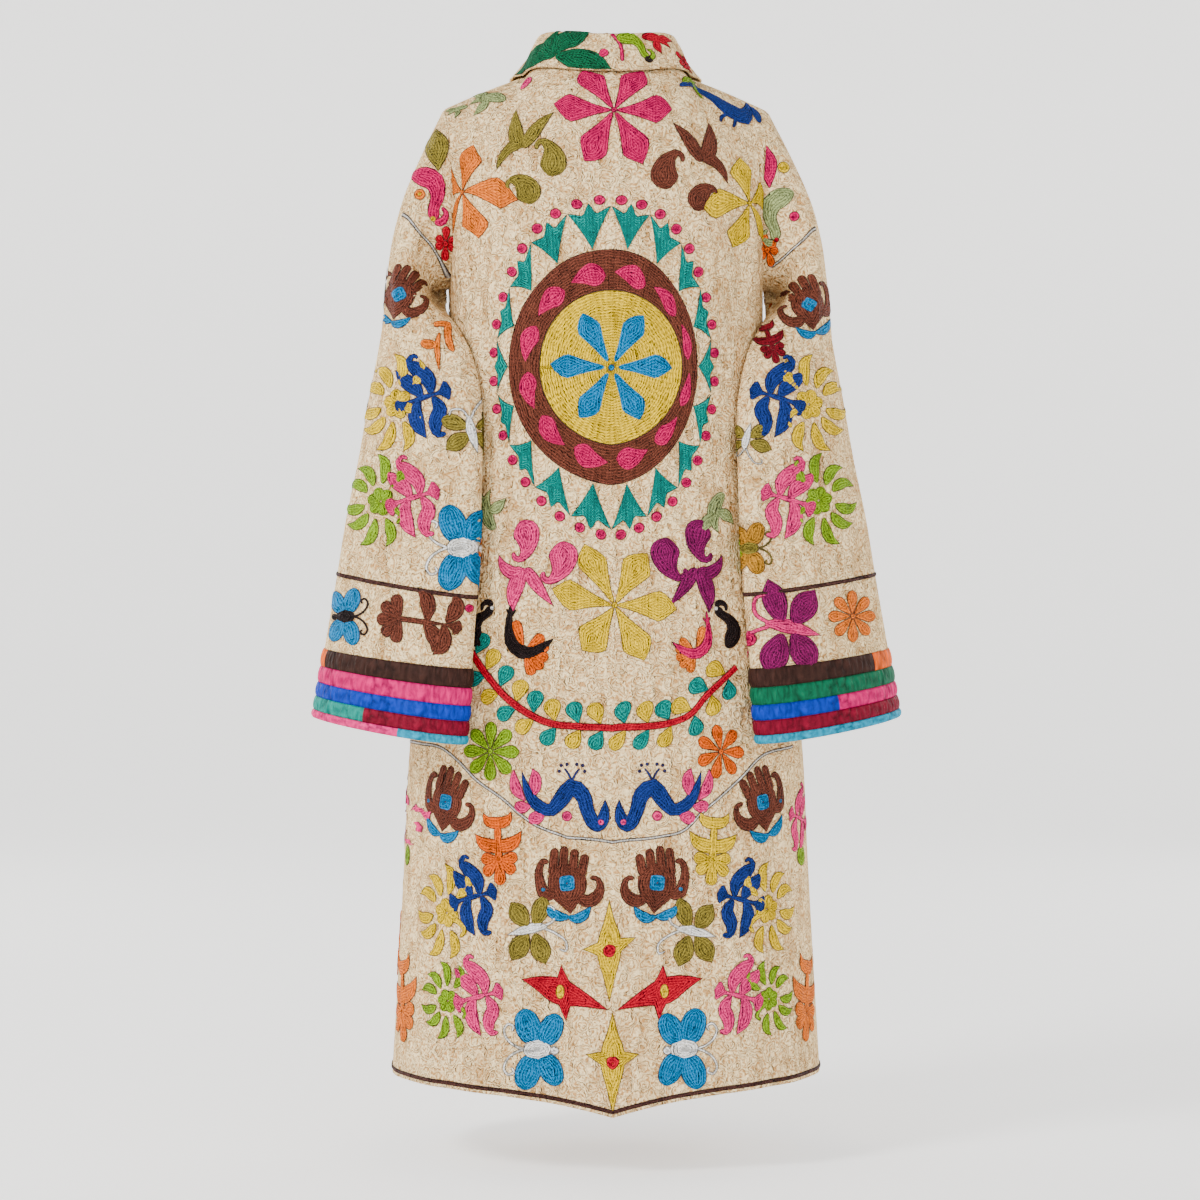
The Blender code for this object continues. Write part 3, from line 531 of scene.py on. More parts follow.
def body_surface(side):
    """Half a body in metres: p across from the centre or the opening, q up from the hem along a middle
    column."""
    v = np.linspace(0, 2, SAMPLES_UP)
    middle = body_half(side, np.full((len(v), 1), MIDDLE_COLUMN), v[:, None])[:, 0]
    climb = np.concatenate([[0.0], np.cumsum(np.linalg.norm(np.diff(middle, axis=0), axis=1))])
    fine = np.repeat(np.linspace(0, 1, SAMPLES_ACROSS)[None], len(v), 0)
    ring = body_half(side, fine, np.repeat(v[:, None], SAMPLES_ACROSS, 1))
    length = np.linalg.norm(np.diff(ring, axis=1), axis=2).sum(1)
    q = np.arange(0, climb[-1], GRID_STEP)
    p = np.arange(0, WIDEST_HALF, GRID_STEP)
    v_at = np.interp(q, climb, v)
    f = np.clip(p[None] / np.interp(v_at, v, length)[:, None], 0, 1)
    points = body_half(side, f, np.repeat(v_at[:, None], len(p), 1))
    seam = princess_share(v_at) * np.interp(v_at, v, length)
    return p, q, points, seam, np.interp(v_at, v, length)


# Each set of normals is turned outwards by one sample that is known to face back, or front.
back_p, back_q, back_points, BACK_SEAM, BACK_LENGTH = body_surface("back")
mirror = np.array([-1.0, 1.0, 1.0])
whole_back = np.concatenate([(back_points * mirror)[:, :0:-1], back_points], 1)
back_normals = normals_of(whole_back)
back_normals *= -1 if back_normals[100, whole_back.shape[1] // 2, 1] < 0 else 1
BACK = Surface("back", whole_back, back_normals, -back_p[-1], GRID_STEP, 0.0, GRID_STEP, False)

_, _, front_points, _, FRONT_LENGTH = body_surface("front")
front_normals = normals_of(front_points)
front_normals *= -1 if front_normals[100, 20, 1] > 0 else 1
FRONT = Surface("front", front_points, front_normals, 0.0, GRID_STEP, 0.0, GRID_STEP, False)

sleeve_turn = np.linspace(0, 2 * math.pi, SLEEVE_ROUND + 1)
sleeve_grid = sleeve_points(sleeve_turn, np.linspace(0, 1, SLEEVE_DOWN + 1))
sleeve_normals = normals_of(sleeve_grid, wraps=True)
sleeve_normals *= -1 if sleeve_normals[200, 45, 1] < 0 else 1
SLEEVE = Surface("sleeve", sleeve_grid, sleeve_normals, 0.0, 1 / SLEEVE_ROUND, 0.0, 1 / SLEEVE_DOWN, True)

collar_turns = np.linspace(0, LAST_NECK_TURN, 25)
collar_rows = collar_profile(collar_turns)
row_run = np.linalg.norm(np.diff(collar_rows, axis=0), axis=2).mean(1)
row_run = np.concatenate([[0.0], np.cumsum(row_run)])
collar_rows = smooth(row_run, collar_rows, np.linspace(0, row_run[-1], COLLAR_UP + 1))
fine_turns = np.linspace(0, LAST_NECK_TURN, COLLAR_ROUND + 1)
half_collar = np.stack([smooth(collar_turns, row, fine_turns) for row in collar_rows])
whole_collar = np.concatenate([(half_collar * mirror)[:, :0:-1], half_collar], 1)
collar_normals = normals_of(whole_collar)
collar_normals *= -1 if collar_normals[36, COLLAR_ROUND, 1] < 0 else 1
COLLAR_STEP = LAST_NECK_TURN / COLLAR_ROUND
COLLAR = Surface(
    "collar", whole_collar, collar_normals, -LAST_NECK_TURN, COLLAR_STEP, 0.0, 1 / COLLAR_UP, False
)
SURFACES = {s.name: s for s in (BACK, FRONT, SLEEVE, COLLAR)}
print({s.name: s.points.shape[:2] for s in SURFACES.values()}, "samples")


def look_up(surface, p, q):
    """Points and normals at any (p, q): the four samples round it, weighed by how near each is."""
    rows, columns = surface.points.shape[:2]
    x = (np.asarray(p, float) - surface.p_first) / surface.p_step
    x = np.mod(x, columns - 1) if surface.wraps else np.clip(x, 0, columns - 1.0001)
    y = np.clip((np.asarray(q, float) - surface.q_first) / surface.q_step, 0, rows - 1.0001)
    i = x.astype(int)
    j = y.astype(int)
    a = (x - i)[..., None]
    b = (y - j)[..., None]
    out = []
    for grid in (surface.points, surface.normals):
        low = grid[j, i] * (1 - a) + grid[j, i + 1] * a
        high = grid[j + 1, i] * (1 - a) + grid[j + 1, i + 1] * a
        out.append(low * (1 - b) + high * b)
    return out[0], out[1] / np.maximum(np.linalg.norm(out[1], axis=-1), 1e-9)[..., None]


# %% [markdown]
# ## The camera
# The photograph shows the coat from behind, level with its middle and a little to one side. The camera is
# made first, because the tables of motifs give their places as pixels of a 1200 x 1200 picture from it.

# %% Camera
CAMERA_AZIMUTH = math.radians(177.5)
CAMERA_DISTANCE = 3.0
AIM = np.array([0.0, 0.0, -0.5515])
LENS_MM = 85.7
SENSOR_MM = 36.0
AXIS_PIXEL = 606.0
PICTURE = 1200.0
LEAST_FACING = 0.03
OUT_OF_SIGHT = 1e6
towards_camera = np.array([math.sin(CAMERA_AZIMUTH), -math.cos(CAMERA_AZIMUTH), 0.0])
picture_right = np.array([math.cos(CAMERA_AZIMUTH), math.sin(CAMERA_AZIMUTH), 0.0])

camera_data = bpy.data.cameras.new("camera")
camera_data.lens = LENS_MM
camera_data.sensor_width = SENSOR_MM
camera_data.shift_x = -(AXIS_PIXEL - PICTURE / 2) / PICTURE
camera = bpy.data.objects.new("camera", camera_data)
bpy.context.scene.collection.objects.link(camera)
camera.location = AIM + towards_camera * CAMERA_DISTANCE
camera.rotation_euler = (math.pi / 2, 0.0, CAMERA_AZIMUTH)
bpy.context.scene.camera = camera


def picture_place(points):
    """Where points fall in the picture, in pixels, by the lens's own rule: size over distance."""
    from_aim = points - AIM
    scale = LENS_MM / SENSOR_MM * PICTURE / (CAMERA_DISTANCE - from_aim @ towards_camera)
    across = AXIS_PIXEL + from_aim @ picture_right * scale
    return np.stack([across, PICTURE / 2 - from_aim[..., 2] * scale], -1)


SEEN = {}
for name, surface in SURFACES.items():
    for flip in (1, -1):
        place = picture_place(surface.points * np.array([flip, 1.0, 1.0]))
        facing = (surface.normals * np.array([flip, 1.0, 1.0])) @ towards_camera > LEAST_FACING
        SEEN[name, flip] = np.where(facing[..., None], place, OUT_OF_SIGHT)


def find(name, flip, px, py):
    """The (p, q) of the sample that falls nearest to a pixel and faces the camera."""
    surface = SURFACES[name]
    away = ((SEEN[name, flip] - (px, py)) ** 2).sum(-1)
    j, i = np.unravel_index(away.argmin(), away.shape)
    return surface.p_first + i * surface.p_step, surface.q_first + j * surface.q_step


print("hem centre falls at pixel", picture_place(look_up(BACK, 0.0, 0.0)[0]).round())

# %% [markdown]
# ## Laying motifs out
# Every motif is placed from the photograph's layout and drawn from its own formula. What follows are the
# small tools for that: one that adds a node, one that makes a mesh from arrays, and the cloth itself.

# %% Tools for meshes and finishes
def add_node(tree, kind, inputs=None, **settings):
    """Add one node: settings are its own choices, and each input is a value or another node's output."""
    made = tree.nodes.new(kind)
    for key, value in settings.items():
        setattr(made, key, value)
    for key, value in (inputs or {}).items():
        if isinstance(value, bpy.types.NodeSocket):
            tree.links.new(value, made.inputs[key])
        else:
            made.inputs[key].default_value = value
    return made


def colour(hex_value):
    """A colour given as sRGB hex, turned to the linear light that shaders use."""
    srgb = np.array([int(hex_value[i : i + 2], 16) for i in (1, 3, 5)]) / 255
    linear = np.where(srgb <= 0.04045, srgb / 12.92, ((srgb + 0.055) / 1.055) ** 2.4)
    return (*linear.tolist(), 1.0)


THREAD_SPECULAR = 0.06


def new_finish(name, roughness, sheen, sheen_roughness=0.4):
    """A material with its shader, ready for a colour and a bump; thread reflects little from its surface."""
    material = bpy.data.materials.new(name)
    material.use_nodes = True
    tree = material.node_tree
    shader = tree.nodes["Principled BSDF"]
    shader.inputs["Roughness"].default_value = roughness
    shader.inputs["Sheen Weight"].default_value = sheen
    shader.inputs["Sheen Roughness"].default_value = sheen_roughness
    shader.inputs["Specular IOR Level"].default_value = THREAD_SPECULAR
    return material, tree, shader


def make_mesh(name, points, quads, materials, uv=None, slots=None):
    """One object from arrays: points (n, 3), faces (m, 4) as point numbers, uv by point, and a material
    slot for each face."""
    mesh = bpy.data.meshes.new(name)
    mesh.vertices.add(len(points))
    mesh.vertices.foreach_set("co", np.ascontiguousarray(points, np.float32).ravel())
    mesh.loops.add(quads.size)
    mesh.loops.foreach_set("vertex_index", quads.astype(np.int32).ravel())
    mesh.polygons.add(len(quads))
    mesh.polygons.foreach_set("loop_start", np.arange(0, quads.size, 4, dtype=np.int32))
    for material in materials:
        mesh.materials.append(material)
    if slots is not None:
        mesh.polygons.foreach_set("material_index", slots.astype(np.int32))
    if uv is not None:
        mesh.uv_layers.new(name="stitch").data.foreach_set("uv", uv[quads].astype(np.float32).ravel())
    mesh.update(calc_edges=True)
    mesh.validate()
    mesh.shade_smooth()
    made = bpy.data.objects.new(name, mesh)
    bpy.context.scene.collection.objects.link(made)
    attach(made, "root")
    return made


def grid_quads(rows, columns, wraps=False):
    """The faces of a grid: each holds four neighbouring points, turned the same way."""
    ids = np.arange(rows * columns).reshape(rows, columns)
    if wraps:
        ids = np.hstack([ids, ids[:, :1]])
    return np.stack([ids[:-1, :-1], ids[:-1, 1:], ids[1:, 1:], ids[1:, :-1]], -1).reshape(-1, 4)


# %% [markdown]
# ## Finishes
# The ground is cotton wholly covered in cream silk chain stitch, worked in small rings that run into each
# other. Rings round scattered points, at one spacing, give that look: the distance to the nearest of many
# scattered points, read through a sine. The rows are about 2.8 mm apart, the width of two threads, and each
# link is about 3 mm long.

# %% Finishes of the embroidery
ROW_WIDTH = 0.0028
LINK_LENGTH = 0.0032
UNEVEN_HAND = 0.0050
CELLS_PER_METRE = 62.0


def arithmetic(tree, operation, *values):
    """One step of arithmetic on numbers or other nodes' outputs."""
    return add_node(tree, "ShaderNodeMath", dict(enumerate(values)), operation=operation).outputs[0]


def noise(tree, place, scale, detail, distortion=0.0):
    """Even noise round a half."""
    inputs = {"Vector": place, "Scale": scale, "Detail": detail, "Distortion": distortion}
    return add_node(tree, "ShaderNodeTexNoise", inputs).outputs["Fac"]


def share_of(tree, value, low, high, at_low=0.0, at_high=1.0):
    """A value between low and high, read as a share between two others and held there outside them."""
    inputs = {"Value": value, "From Min": low, "From Max": high, "To Min": at_low, "To Max": at_high}
    return add_node(tree, "ShaderNodeMapRange", inputs).outputs["Result"]


def mixed(tree, share, first, second):
    """One colour at a share of 0, the other at 1."""
    inputs = {"Factor": share, 6: first, 7: second}
    return add_node(tree, "ShaderNodeMix", inputs, data_type="RGBA").outputs[2]


def bump(tree, height, distance, strength=1.0, **below):
    """A normal that leans with a height, on top of another normal where one is given."""
    inputs = {"Height": height, "Strength": strength, "Distance": distance, **below}
    return add_node(tree, "ShaderNodeBump", inputs).outputs["Normal"]


def stitch_map(tree):
    """The two coordinates of the stitches: along a row, and in from the motif's edge, in metres."""
    place = add_node(tree, "ShaderNodeUVMap", uv_map="stitch").outputs[0]
    split = add_node(tree, "ShaderNodeSeparateXYZ", {0: place})
    return split.outputs[0], split.outputs[1]


def tinted(full, factor):
    """A colour's linear light times a factor, at most 1."""
    return (*np.clip(np.array(full[:3]) * factor, 0, 1).tolist(), 1.0)


def crinkles(tree, place):
    """Two crumpled heights: long ones down the cloth, as puckers between stitched rows are, and small
    round ones."""
    down = add_node(tree, "ShaderNodeMapping", {"Vector": place, "Scale": (88.0, 88.0, 20.0)})
    long_ones = noise(tree, down.outputs["Vector"], scale=1.0, detail=3.0, distortion=0.5)
    small_ones = noise(tree, place, scale=62.0, detail=3.0, distortion=0.8)
    return arithmetic(tree, "MULTIPLY_ADD", small_ones, 0.8, long_ones)


def crumpled_normal(tree, crinkle, relief, fine_distance):
    """The normal of cloth that is crumpled at large and stitched at small."""
    return bump(tree, relief, fine_distance, Normal=bump(tree, crinkle, 0.0110))


def stitched_ground(name, light, dark, shade):
    """Vermicelli chain stitch in silk on cotton: small loops of rows, on crinkled cloth, with painted shade
    in the crinkles' low places."""
    material, tree, shader = new_finish(name, roughness=0.85, sheen=0.0)
    place = add_node(tree, "ShaderNodeTexCoord").outputs["Object"]
    wander = add_node(tree, "ShaderNodeTexNoise", {"Vector": place, "Scale": 105.0, "Detail": 2.0})
    push = {0: wander.outputs["Color"], 1: (0.015, 0.015, 0.015)}
    push = add_node(tree, "ShaderNodeVectorMath", push, operation="MULTIPLY")
    moved = add_node(tree, "ShaderNodeVectorMath", {0: place, 1: push.outputs[0]}, operation="ADD").outputs[0]
    cells = add_node(tree, "ShaderNodeTexVoronoi", {"Vector": moved, "Scale": CELLS_PER_METRE})
    turns_a_cell = 2 * math.pi / (ROW_WIDTH * CELLS_PER_METRE)
    rows = arithmetic(tree, "SINE", arithmetic(tree, "MULTIPLY", cells.outputs["Distance"], turns_a_cell))
    links = add_node(tree, "ShaderNodeTexVoronoi", {"Vector": place, "Scale": 1 / LINK_LENGTH})
    height = arithmetic(tree, "MULTIPLY_ADD", rows, 0.5, links.outputs["Distance"])
    mottled = arithmetic(tree, "MULTIPLY_ADD", noise(tree, place, scale=260.0, detail=2.0), 1.3, height)
    two_threads = mixed(tree, share_of(tree, mottled, 0.55, 1.40), colour(dark), colour(light))
    crinkle = crinkles(tree, place)
    # Painted shade: the ground is mixed towards the shade colour where the crinkles are low.
    painted_crease_shade = share_of(tree, crinkle, 0.60, 0.95, at_low=0.62, at_high=0.0)
    ground_with_painted_shade = mixed(tree, painted_crease_shade, two_threads, colour(shade))
    tree.links.new(ground_with_painted_shade, shader.inputs["Base Color"])
    tree.links.new(crumpled_normal(tree, crinkle, height, 0.0009), shader.inputs["Normal"])
    return material


def chain_stitch(name, thread):
    """Rows of chain stitch that follow a motif's outline, and a dark line round it; painted shade in the
    grooves between its rows, painted highlight on their crowns, and painted shade in the crinkles' low
    places.
    """
    material, tree, shader = new_finish(name, roughness=0.65, sheen=0.0)
    along, from_edge = stitch_map(tree)
    place = add_node(tree, "ShaderNodeTexCoord").outputs["Object"]
    hand = noise(tree, place, scale=95.0, detail=2.0)
    drift = arithmetic(tree, "MULTIPLY_ADD", hand, UNEVEN_HAND, from_edge)
    ridge = arithmetic(tree, "COSINE", arithmetic(tree, "MULTIPLY", drift, 2 * math.pi / ROW_WIDTH))
    lean = arithmetic(tree, "MULTIPLY", ridge, 1.4)
    loop = arithmetic(tree, "SINE", arithmetic(tree, "MULTIPLY_ADD", along, 2 * math.pi / LINK_LENGTH, lean))
    height = arithmetic(tree, "MULTIPLY_ADD", loop, 0.35, -0.6)
    relief = arithmetic(tree, "MULTIPLY_ADD", ridge, -0.9, height)
    # Painted light and shade: the rows' crowns turn to a lighter copy of the thread and the grooves to a
    # darker one.
    painted_row_light = share_of(tree, relief, -1.9, 0.3)
    fade = noise(tree, place, scale=120.0, detail=3.0)
    row_light_and_fade = arithmetic(tree, "MULTIPLY_ADD", fade, 0.5, painted_row_light)
    full = colour(thread)
    body = mixed(tree, share_of(tree, row_light_and_fade, 0.15, 1.30), tinted(full, 0.55), tinted(full, 1.70))
    rim = share_of(tree, from_edge, 0.0003, 0.0012, at_low=0.85, at_high=0.0)
    outlined = mixed(tree, rim, body, colour(OUTLINE_THREAD))
    crinkle = crinkles(tree, place)
    # Painted shade: the thread is mixed towards a darker copy of itself where the crinkles are low.
    painted_crease_shade = share_of(tree, crinkle, 0.62, 0.92, at_low=0.45, at_high=0.0)
    shaded = mixed(tree, painted_crease_shade, outlined, tinted(full, 0.35))
    tree.links.new(shaded, shader.inputs["Base Color"])
    tree.links.new(crumpled_normal(tree, crinkle, relief, 0.0008), shader.inputs["Normal"])
    return material


def gathered_silk(name, dye):
    """Thin silk, woven plain and gathered along both edges: a soft lustre, and fine wrinkles across it, with
    painted light on their crests and painted shade in their troughs.
    """
    material, tree, shader = new_finish(name, roughness=0.50, sheen=0.0)
    along, across = stitch_map(tree)
    place = add_node(tree, "ShaderNodeCombineXYZ", {0: along, 1: across}).outputs[0]
    squeezed = add_node(tree, "ShaderNodeMapping", {"Vector": place, "Scale": (300.0, 70.0, 1.0)})
    wrinkle = noise(tree, squeezed.outputs["Vector"], scale=1.0, detail=3.0, distortion=0.6)
    full = colour(dye)
    # Painted light and shade: the wrinkles' crests get a lighter copy of the dye and their troughs a darker
    # one.
    silk_with_painted_wrinkle_light = mixed(tree, share_of(tree, wrinkle, 0.30, 0.68), tinted(full, 0.45), tinted(full, 1.45))
    tree.links.new(silk_with_painted_wrinkle_light, shader.inputs["Base Color"])
    tree.links.new(bump(tree, wrinkle, 0.0030, strength=0.9), shader.inputs["Normal"])
    return material


OUTLINE_THREAD = "#3A2B26"
THREADS = {
    "magenta": "#B4034E",
    "teal": "#03776F",
    "brown": "#5A2E22",
    "dark_brown": "#3C2420",
    "yellow": "#D2A808",
    "cyan": "#02689A",
    "royal": "#152A68",
    "olive": "#736626",
    "peach": "#E0661A",
    "orange": "#C85002",
    "red": "#A20220",
    "dark_red": "#620A18",
    "plum": "#6C0E48",
    "lime": "#6E8E10",
    "pink": "#D02868",
    "emerald": "#0C5234",
    "sage": "#84905C",
    "cream": "#FFF6E2",
    "black": "#1A1212",
    "gold": "#9A6A1C",
}
# The third colour is the painted shade in the crinkles' low places.
GROUND = stitched_ground("cream_silk_vermicelli_on_cotton", "#FFE2AC", "#C0905A", "#A87438")
STITCHES = {name: chain_stitch(name + "_silk_chain_stitch", value) for name, value in THREADS.items()}
STITCH_SLOT = {name: i for i, name in enumerate(THREADS)}
SILKS = {
    "dark_brown": "#2E1B16",
    "hot_pink": "#B8025A",
    "blue": "#0A2C94",
    "teal": "#04786C",
    "dark_red": "#660720",
    "pink": "#C8246A",
    "cyan": "#05809E",
    "orange": "#CC5206",
    "emerald": "#0A5238",
}
SILK = {name: gathered_silk(name + "_gathered_silk", value) for name, value in SILKS.items()}
SILK_SLOT = {name: i for i, name in enumerate(SILKS)}
print(len(STITCHES), "threads and", len(SILK), "silks")

# %% [markdown]
# ## The cloth pieces
# Each piece of the coat is a thin shell on the surface that its CAD solid has. Where two pieces are sewn
# together the cloth rolls under, so the shell sinks near its seams and a soft groove is left, with no gap.
# A Solidify modifier gives the shell its thickness.

# %% Cloth shells
SEAM_SINK = 0.0010
SEAM_ROLL = 0.0018
SEAM_OPENS = 0.004
SKIRT_ROWS = 176
TOP_ROWS = 56
SIDES = (("left", np.ones(3)), ("right", mirror))


def rolled(points, outward, edges):
    """Sink the grid near the named edges: depth times a bell curve of the distance from the edge,
    measured along the grid."""
    across = np.linalg.norm(np.diff(points, axis=1), axis=2)
    across = np.hstack([np.zeros((len(points), 1)), np.cumsum(across, axis=1)])
    along = np.linalg.norm(np.diff(points, axis=0), axis=2)
    along = np.vstack([np.zeros((1, points.shape[1])), np.cumsum(along, axis=0)])
    away = {
        "first_column": across,
        "last_column": across[:, -1:] - across,
        "first_row": along,
        "last_row": along[-1:] - along,
    }
    sink = sum(np.exp(-((away[edge] / SEAM_ROLL) ** 2)) for edge in edges)
    return points - outward * (SEAM_SINK * np.minimum(sink, 1.0))[..., None]


def area_of(points, wraps=False):
    """The area of a grid's faces: half the cross product of each one's diagonals."""
    if wraps:
        points = np.concatenate([points, points[:, :1]], 1)
    cross = np.cross(points[1:, 1:] - points[:-1, :-1], points[1:, :-1] - points[:-1, 1:])
    return float(np.linalg.norm(cross, axis=2).sum() / 2)


def as_cloth(made, nodes):
    """Thicken a shell, and hide the CAD parts that it stands for."""
    solid = made.modifiers.new("thickness", "SOLIDIFY")
    solid.thickness = CLOTH
    solid.offset = 0.0
    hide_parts(*nodes)


def cloth_shell(name, points, node, outward_at=(0.0, 0.0)):
    """A shell from a grid of middle points, its faces turned away from an upright axis."""
    quads = grid_quads(*points.shape[:2])
    from_axis = points - np.array([outward_at[0], outward_at[1], 0.0])
    from_axis[..., 2] = 0.0
    if (normals_of(points) * from_axis).sum() < 0:
        quads = quads[:, ::-1]
    made = make_mesh(name, points.reshape(-1, 3), quads, [GROUND])
    as_cloth(made, [node])


def with_fine_edges(count, fine=(0.004, 0.010, 0.020)):
    """Shares from 0 to 1 in even steps, with a few more near both ends for the rolled seams."""
    middle = np.linspace(0, 1, count + 1)[1:-1]
    low = np.array(fine)
    inner = middle[(middle > 0.025) & (middle < 0.975)]
    return np.unique(np.concatenate([[0.0], low, inner, 1 - low, [1.0]]))


def body_rows(last=2.0):
    """Rows of a body panel, from the hem to the underarm and on to the top, finer at the very top."""
    top = 1 + with_fine_edges(TOP_ROWS)
    rows = np.concatenate([np.linspace(0, 1, SKIRT_ROWS + 1)[:-1], top])
    return rows[rows <= last]


def oriented(points, sign_y):
    """Unit normals of a grid, turned to +Y for the back (1) or to -Y for the front (-1)."""
    normals = normals_of(points)
    return normals * np.sign((normals[..., 1] * sign_y).sum())


rows_v = body_rows()
seam_share = princess_share(rows_v)
half_columns = np.concatenate([np.linspace(0, 0.97, 30), [0.98, 0.988, 0.995, 1.0]])
back_v = np.repeat(rows_v[:, None], len(half_columns), 1)
back_half = body_half("back", seam_share[:, None] * half_columns[None], back_v)
back_middle = np.concatenate([(back_half * mirror)[:, :0:-1], back_half], 1)
back_middle = rolled(back_middle, oriented(back_middle, 1), ("first_column", "last_column", "last_row"))
cloth_shell("back_centre_cloth", back_middle, "back_centre", outward_at=(0.0, -0.4))

side_v = body_rows(1 + PRINCESS_TOP)
side_share_at = princess_share(side_v)
side_columns = np.concatenate(
    [[0.0, 0.006, 0.014, 0.026], np.linspace(0.045, 0.955, 34), [0.974, 0.986, 0.994, 1.0]]
)
side_f = side_share_at[:, None] + (1 - side_share_at[:, None]) * side_columns[None]
side_half = body_half("back", side_f, np.repeat(side_v[:, None], side_f.shape[1], 1))
side_half = rolled(side_half, oriented(side_half, 1), ("first_column", "last_column"))

front_columns = with_fine_edges(70, (0.003, 0.007, 0.013))
front_f = np.repeat(front_columns[None], len(rows_v), 0)
front_half = body_half("front", front_f, np.repeat(rows_v[:, None], len(front_columns), 1))
front_half = rolled(front_half, oriented(front_half, -1), ("last_column", "last_row"))
for side, flip in SIDES:
    cloth_shell("side_back_" + side + "_cloth", side_half * flip, "side_back_" + side)
    cloth_shell("front_" + side + "_cloth", front_half * flip, "front_" + side, outward_at=(0.0, 0.4))

# %% [markdown]
# The sleeves are tubes that turn as they fall, so their grid is closed round. The collar is one folded piece:
# it stands up from the neck seam, turns over and lies on the shoulders.

# %% Sleeves and collar
sleeve_rows = np.concatenate([[0.0, 0.003, 0.006, 0.010], np.linspace(0.016, 1.0, 150)])
sleeve_ring = np.linspace(0, 2 * math.pi, 97)[:-1]
sleeve_half = sleeve_points(sleeve_ring, sleeve_rows)
centre = sleeve_half.mean(1, keepdims=True)
away_from_centre = sleeve_half - centre
away_from_centre /= np.linalg.norm(away_from_centre, axis=2)[..., None]
sleeve_half = rolled(sleeve_half, away_from_centre, ("first_row",))


def tube_shell(name, points, node):
    """A closed ring of cloth: faces turned outwards by the sign of its volume round its own middle line."""
    quads = grid_quads(*points.shape[:2], True)
    out = points - points.mean(1, keepdims=True)
    face = points.reshape(-1, 3)[quads]
    cross = np.cross(face[:, 2] - face[:, 0], face[:, 3] - face[:, 1])
    if (cross * out.reshape(-1, 3)[quads[:, 0]]).sum() < 0:
        quads = quads[:, ::-1]
    made = make_mesh(name, points.reshape(-1, 3), quads, [GROUND])
    as_cloth(made, [node])


collar_keep = np.concatenate([half_collar[:, ::2], half_collar[:, -1:]], 1)
collar_shell = np.concatenate([(collar_keep * mirror)[:, :0:-1], collar_keep], 1)
cloth_shell("collar_cloth", collar_shell, "collar")
for side, flip in SIDES:
    tube_shell("sleeve_" + side + "_cloth", sleeve_half * flip, "sleeve_" + side)

# %% [markdown]
# ## Silk strips round the cuffs
# Each cuff ends in five strips of thin silk. Both long edges of a strip are drawn up on a thread, so the silk
# puckers between them. The strip is a ring with many small uneven waves, high in the middle of its width and
# flat at its stitched edges. Some strips are pieced from two colours.

# %% Cuff strips
SILK_THICKNESS = 0.0006
SILK_OFF_CLOTH = 0.0003
SILK_RISE = 0.0008
GATHER_HEIGHT = 0.0011
SILK_A_RADIAN = 0.040
SILK_ACROSS = 0.016
Strip = namedtuple("Strip", "left right")
# Each colour runs from the cuff's outer edge, as the photograph shows it, to the given share of its width.
STRIPS = [
    Strip([("orange", 0.10), ("dark_brown", 1.0)], [("orange", 0.25), ("dark_brown", 1.0)]),
    Strip([("hot_pink", 1.0)], [("emerald", 1.0)]),
    Strip([("blue", 1.0)], [("hot_pink", 0.58), ("blue", 1.0)]),
    Strip([("teal", 0.47), ("dark_red", 1.0)], [("dark_red", 1.0)]),
    Strip([("pink", 0.70), ("cyan", 1.0)], [("cyan", 1.0)]),
]


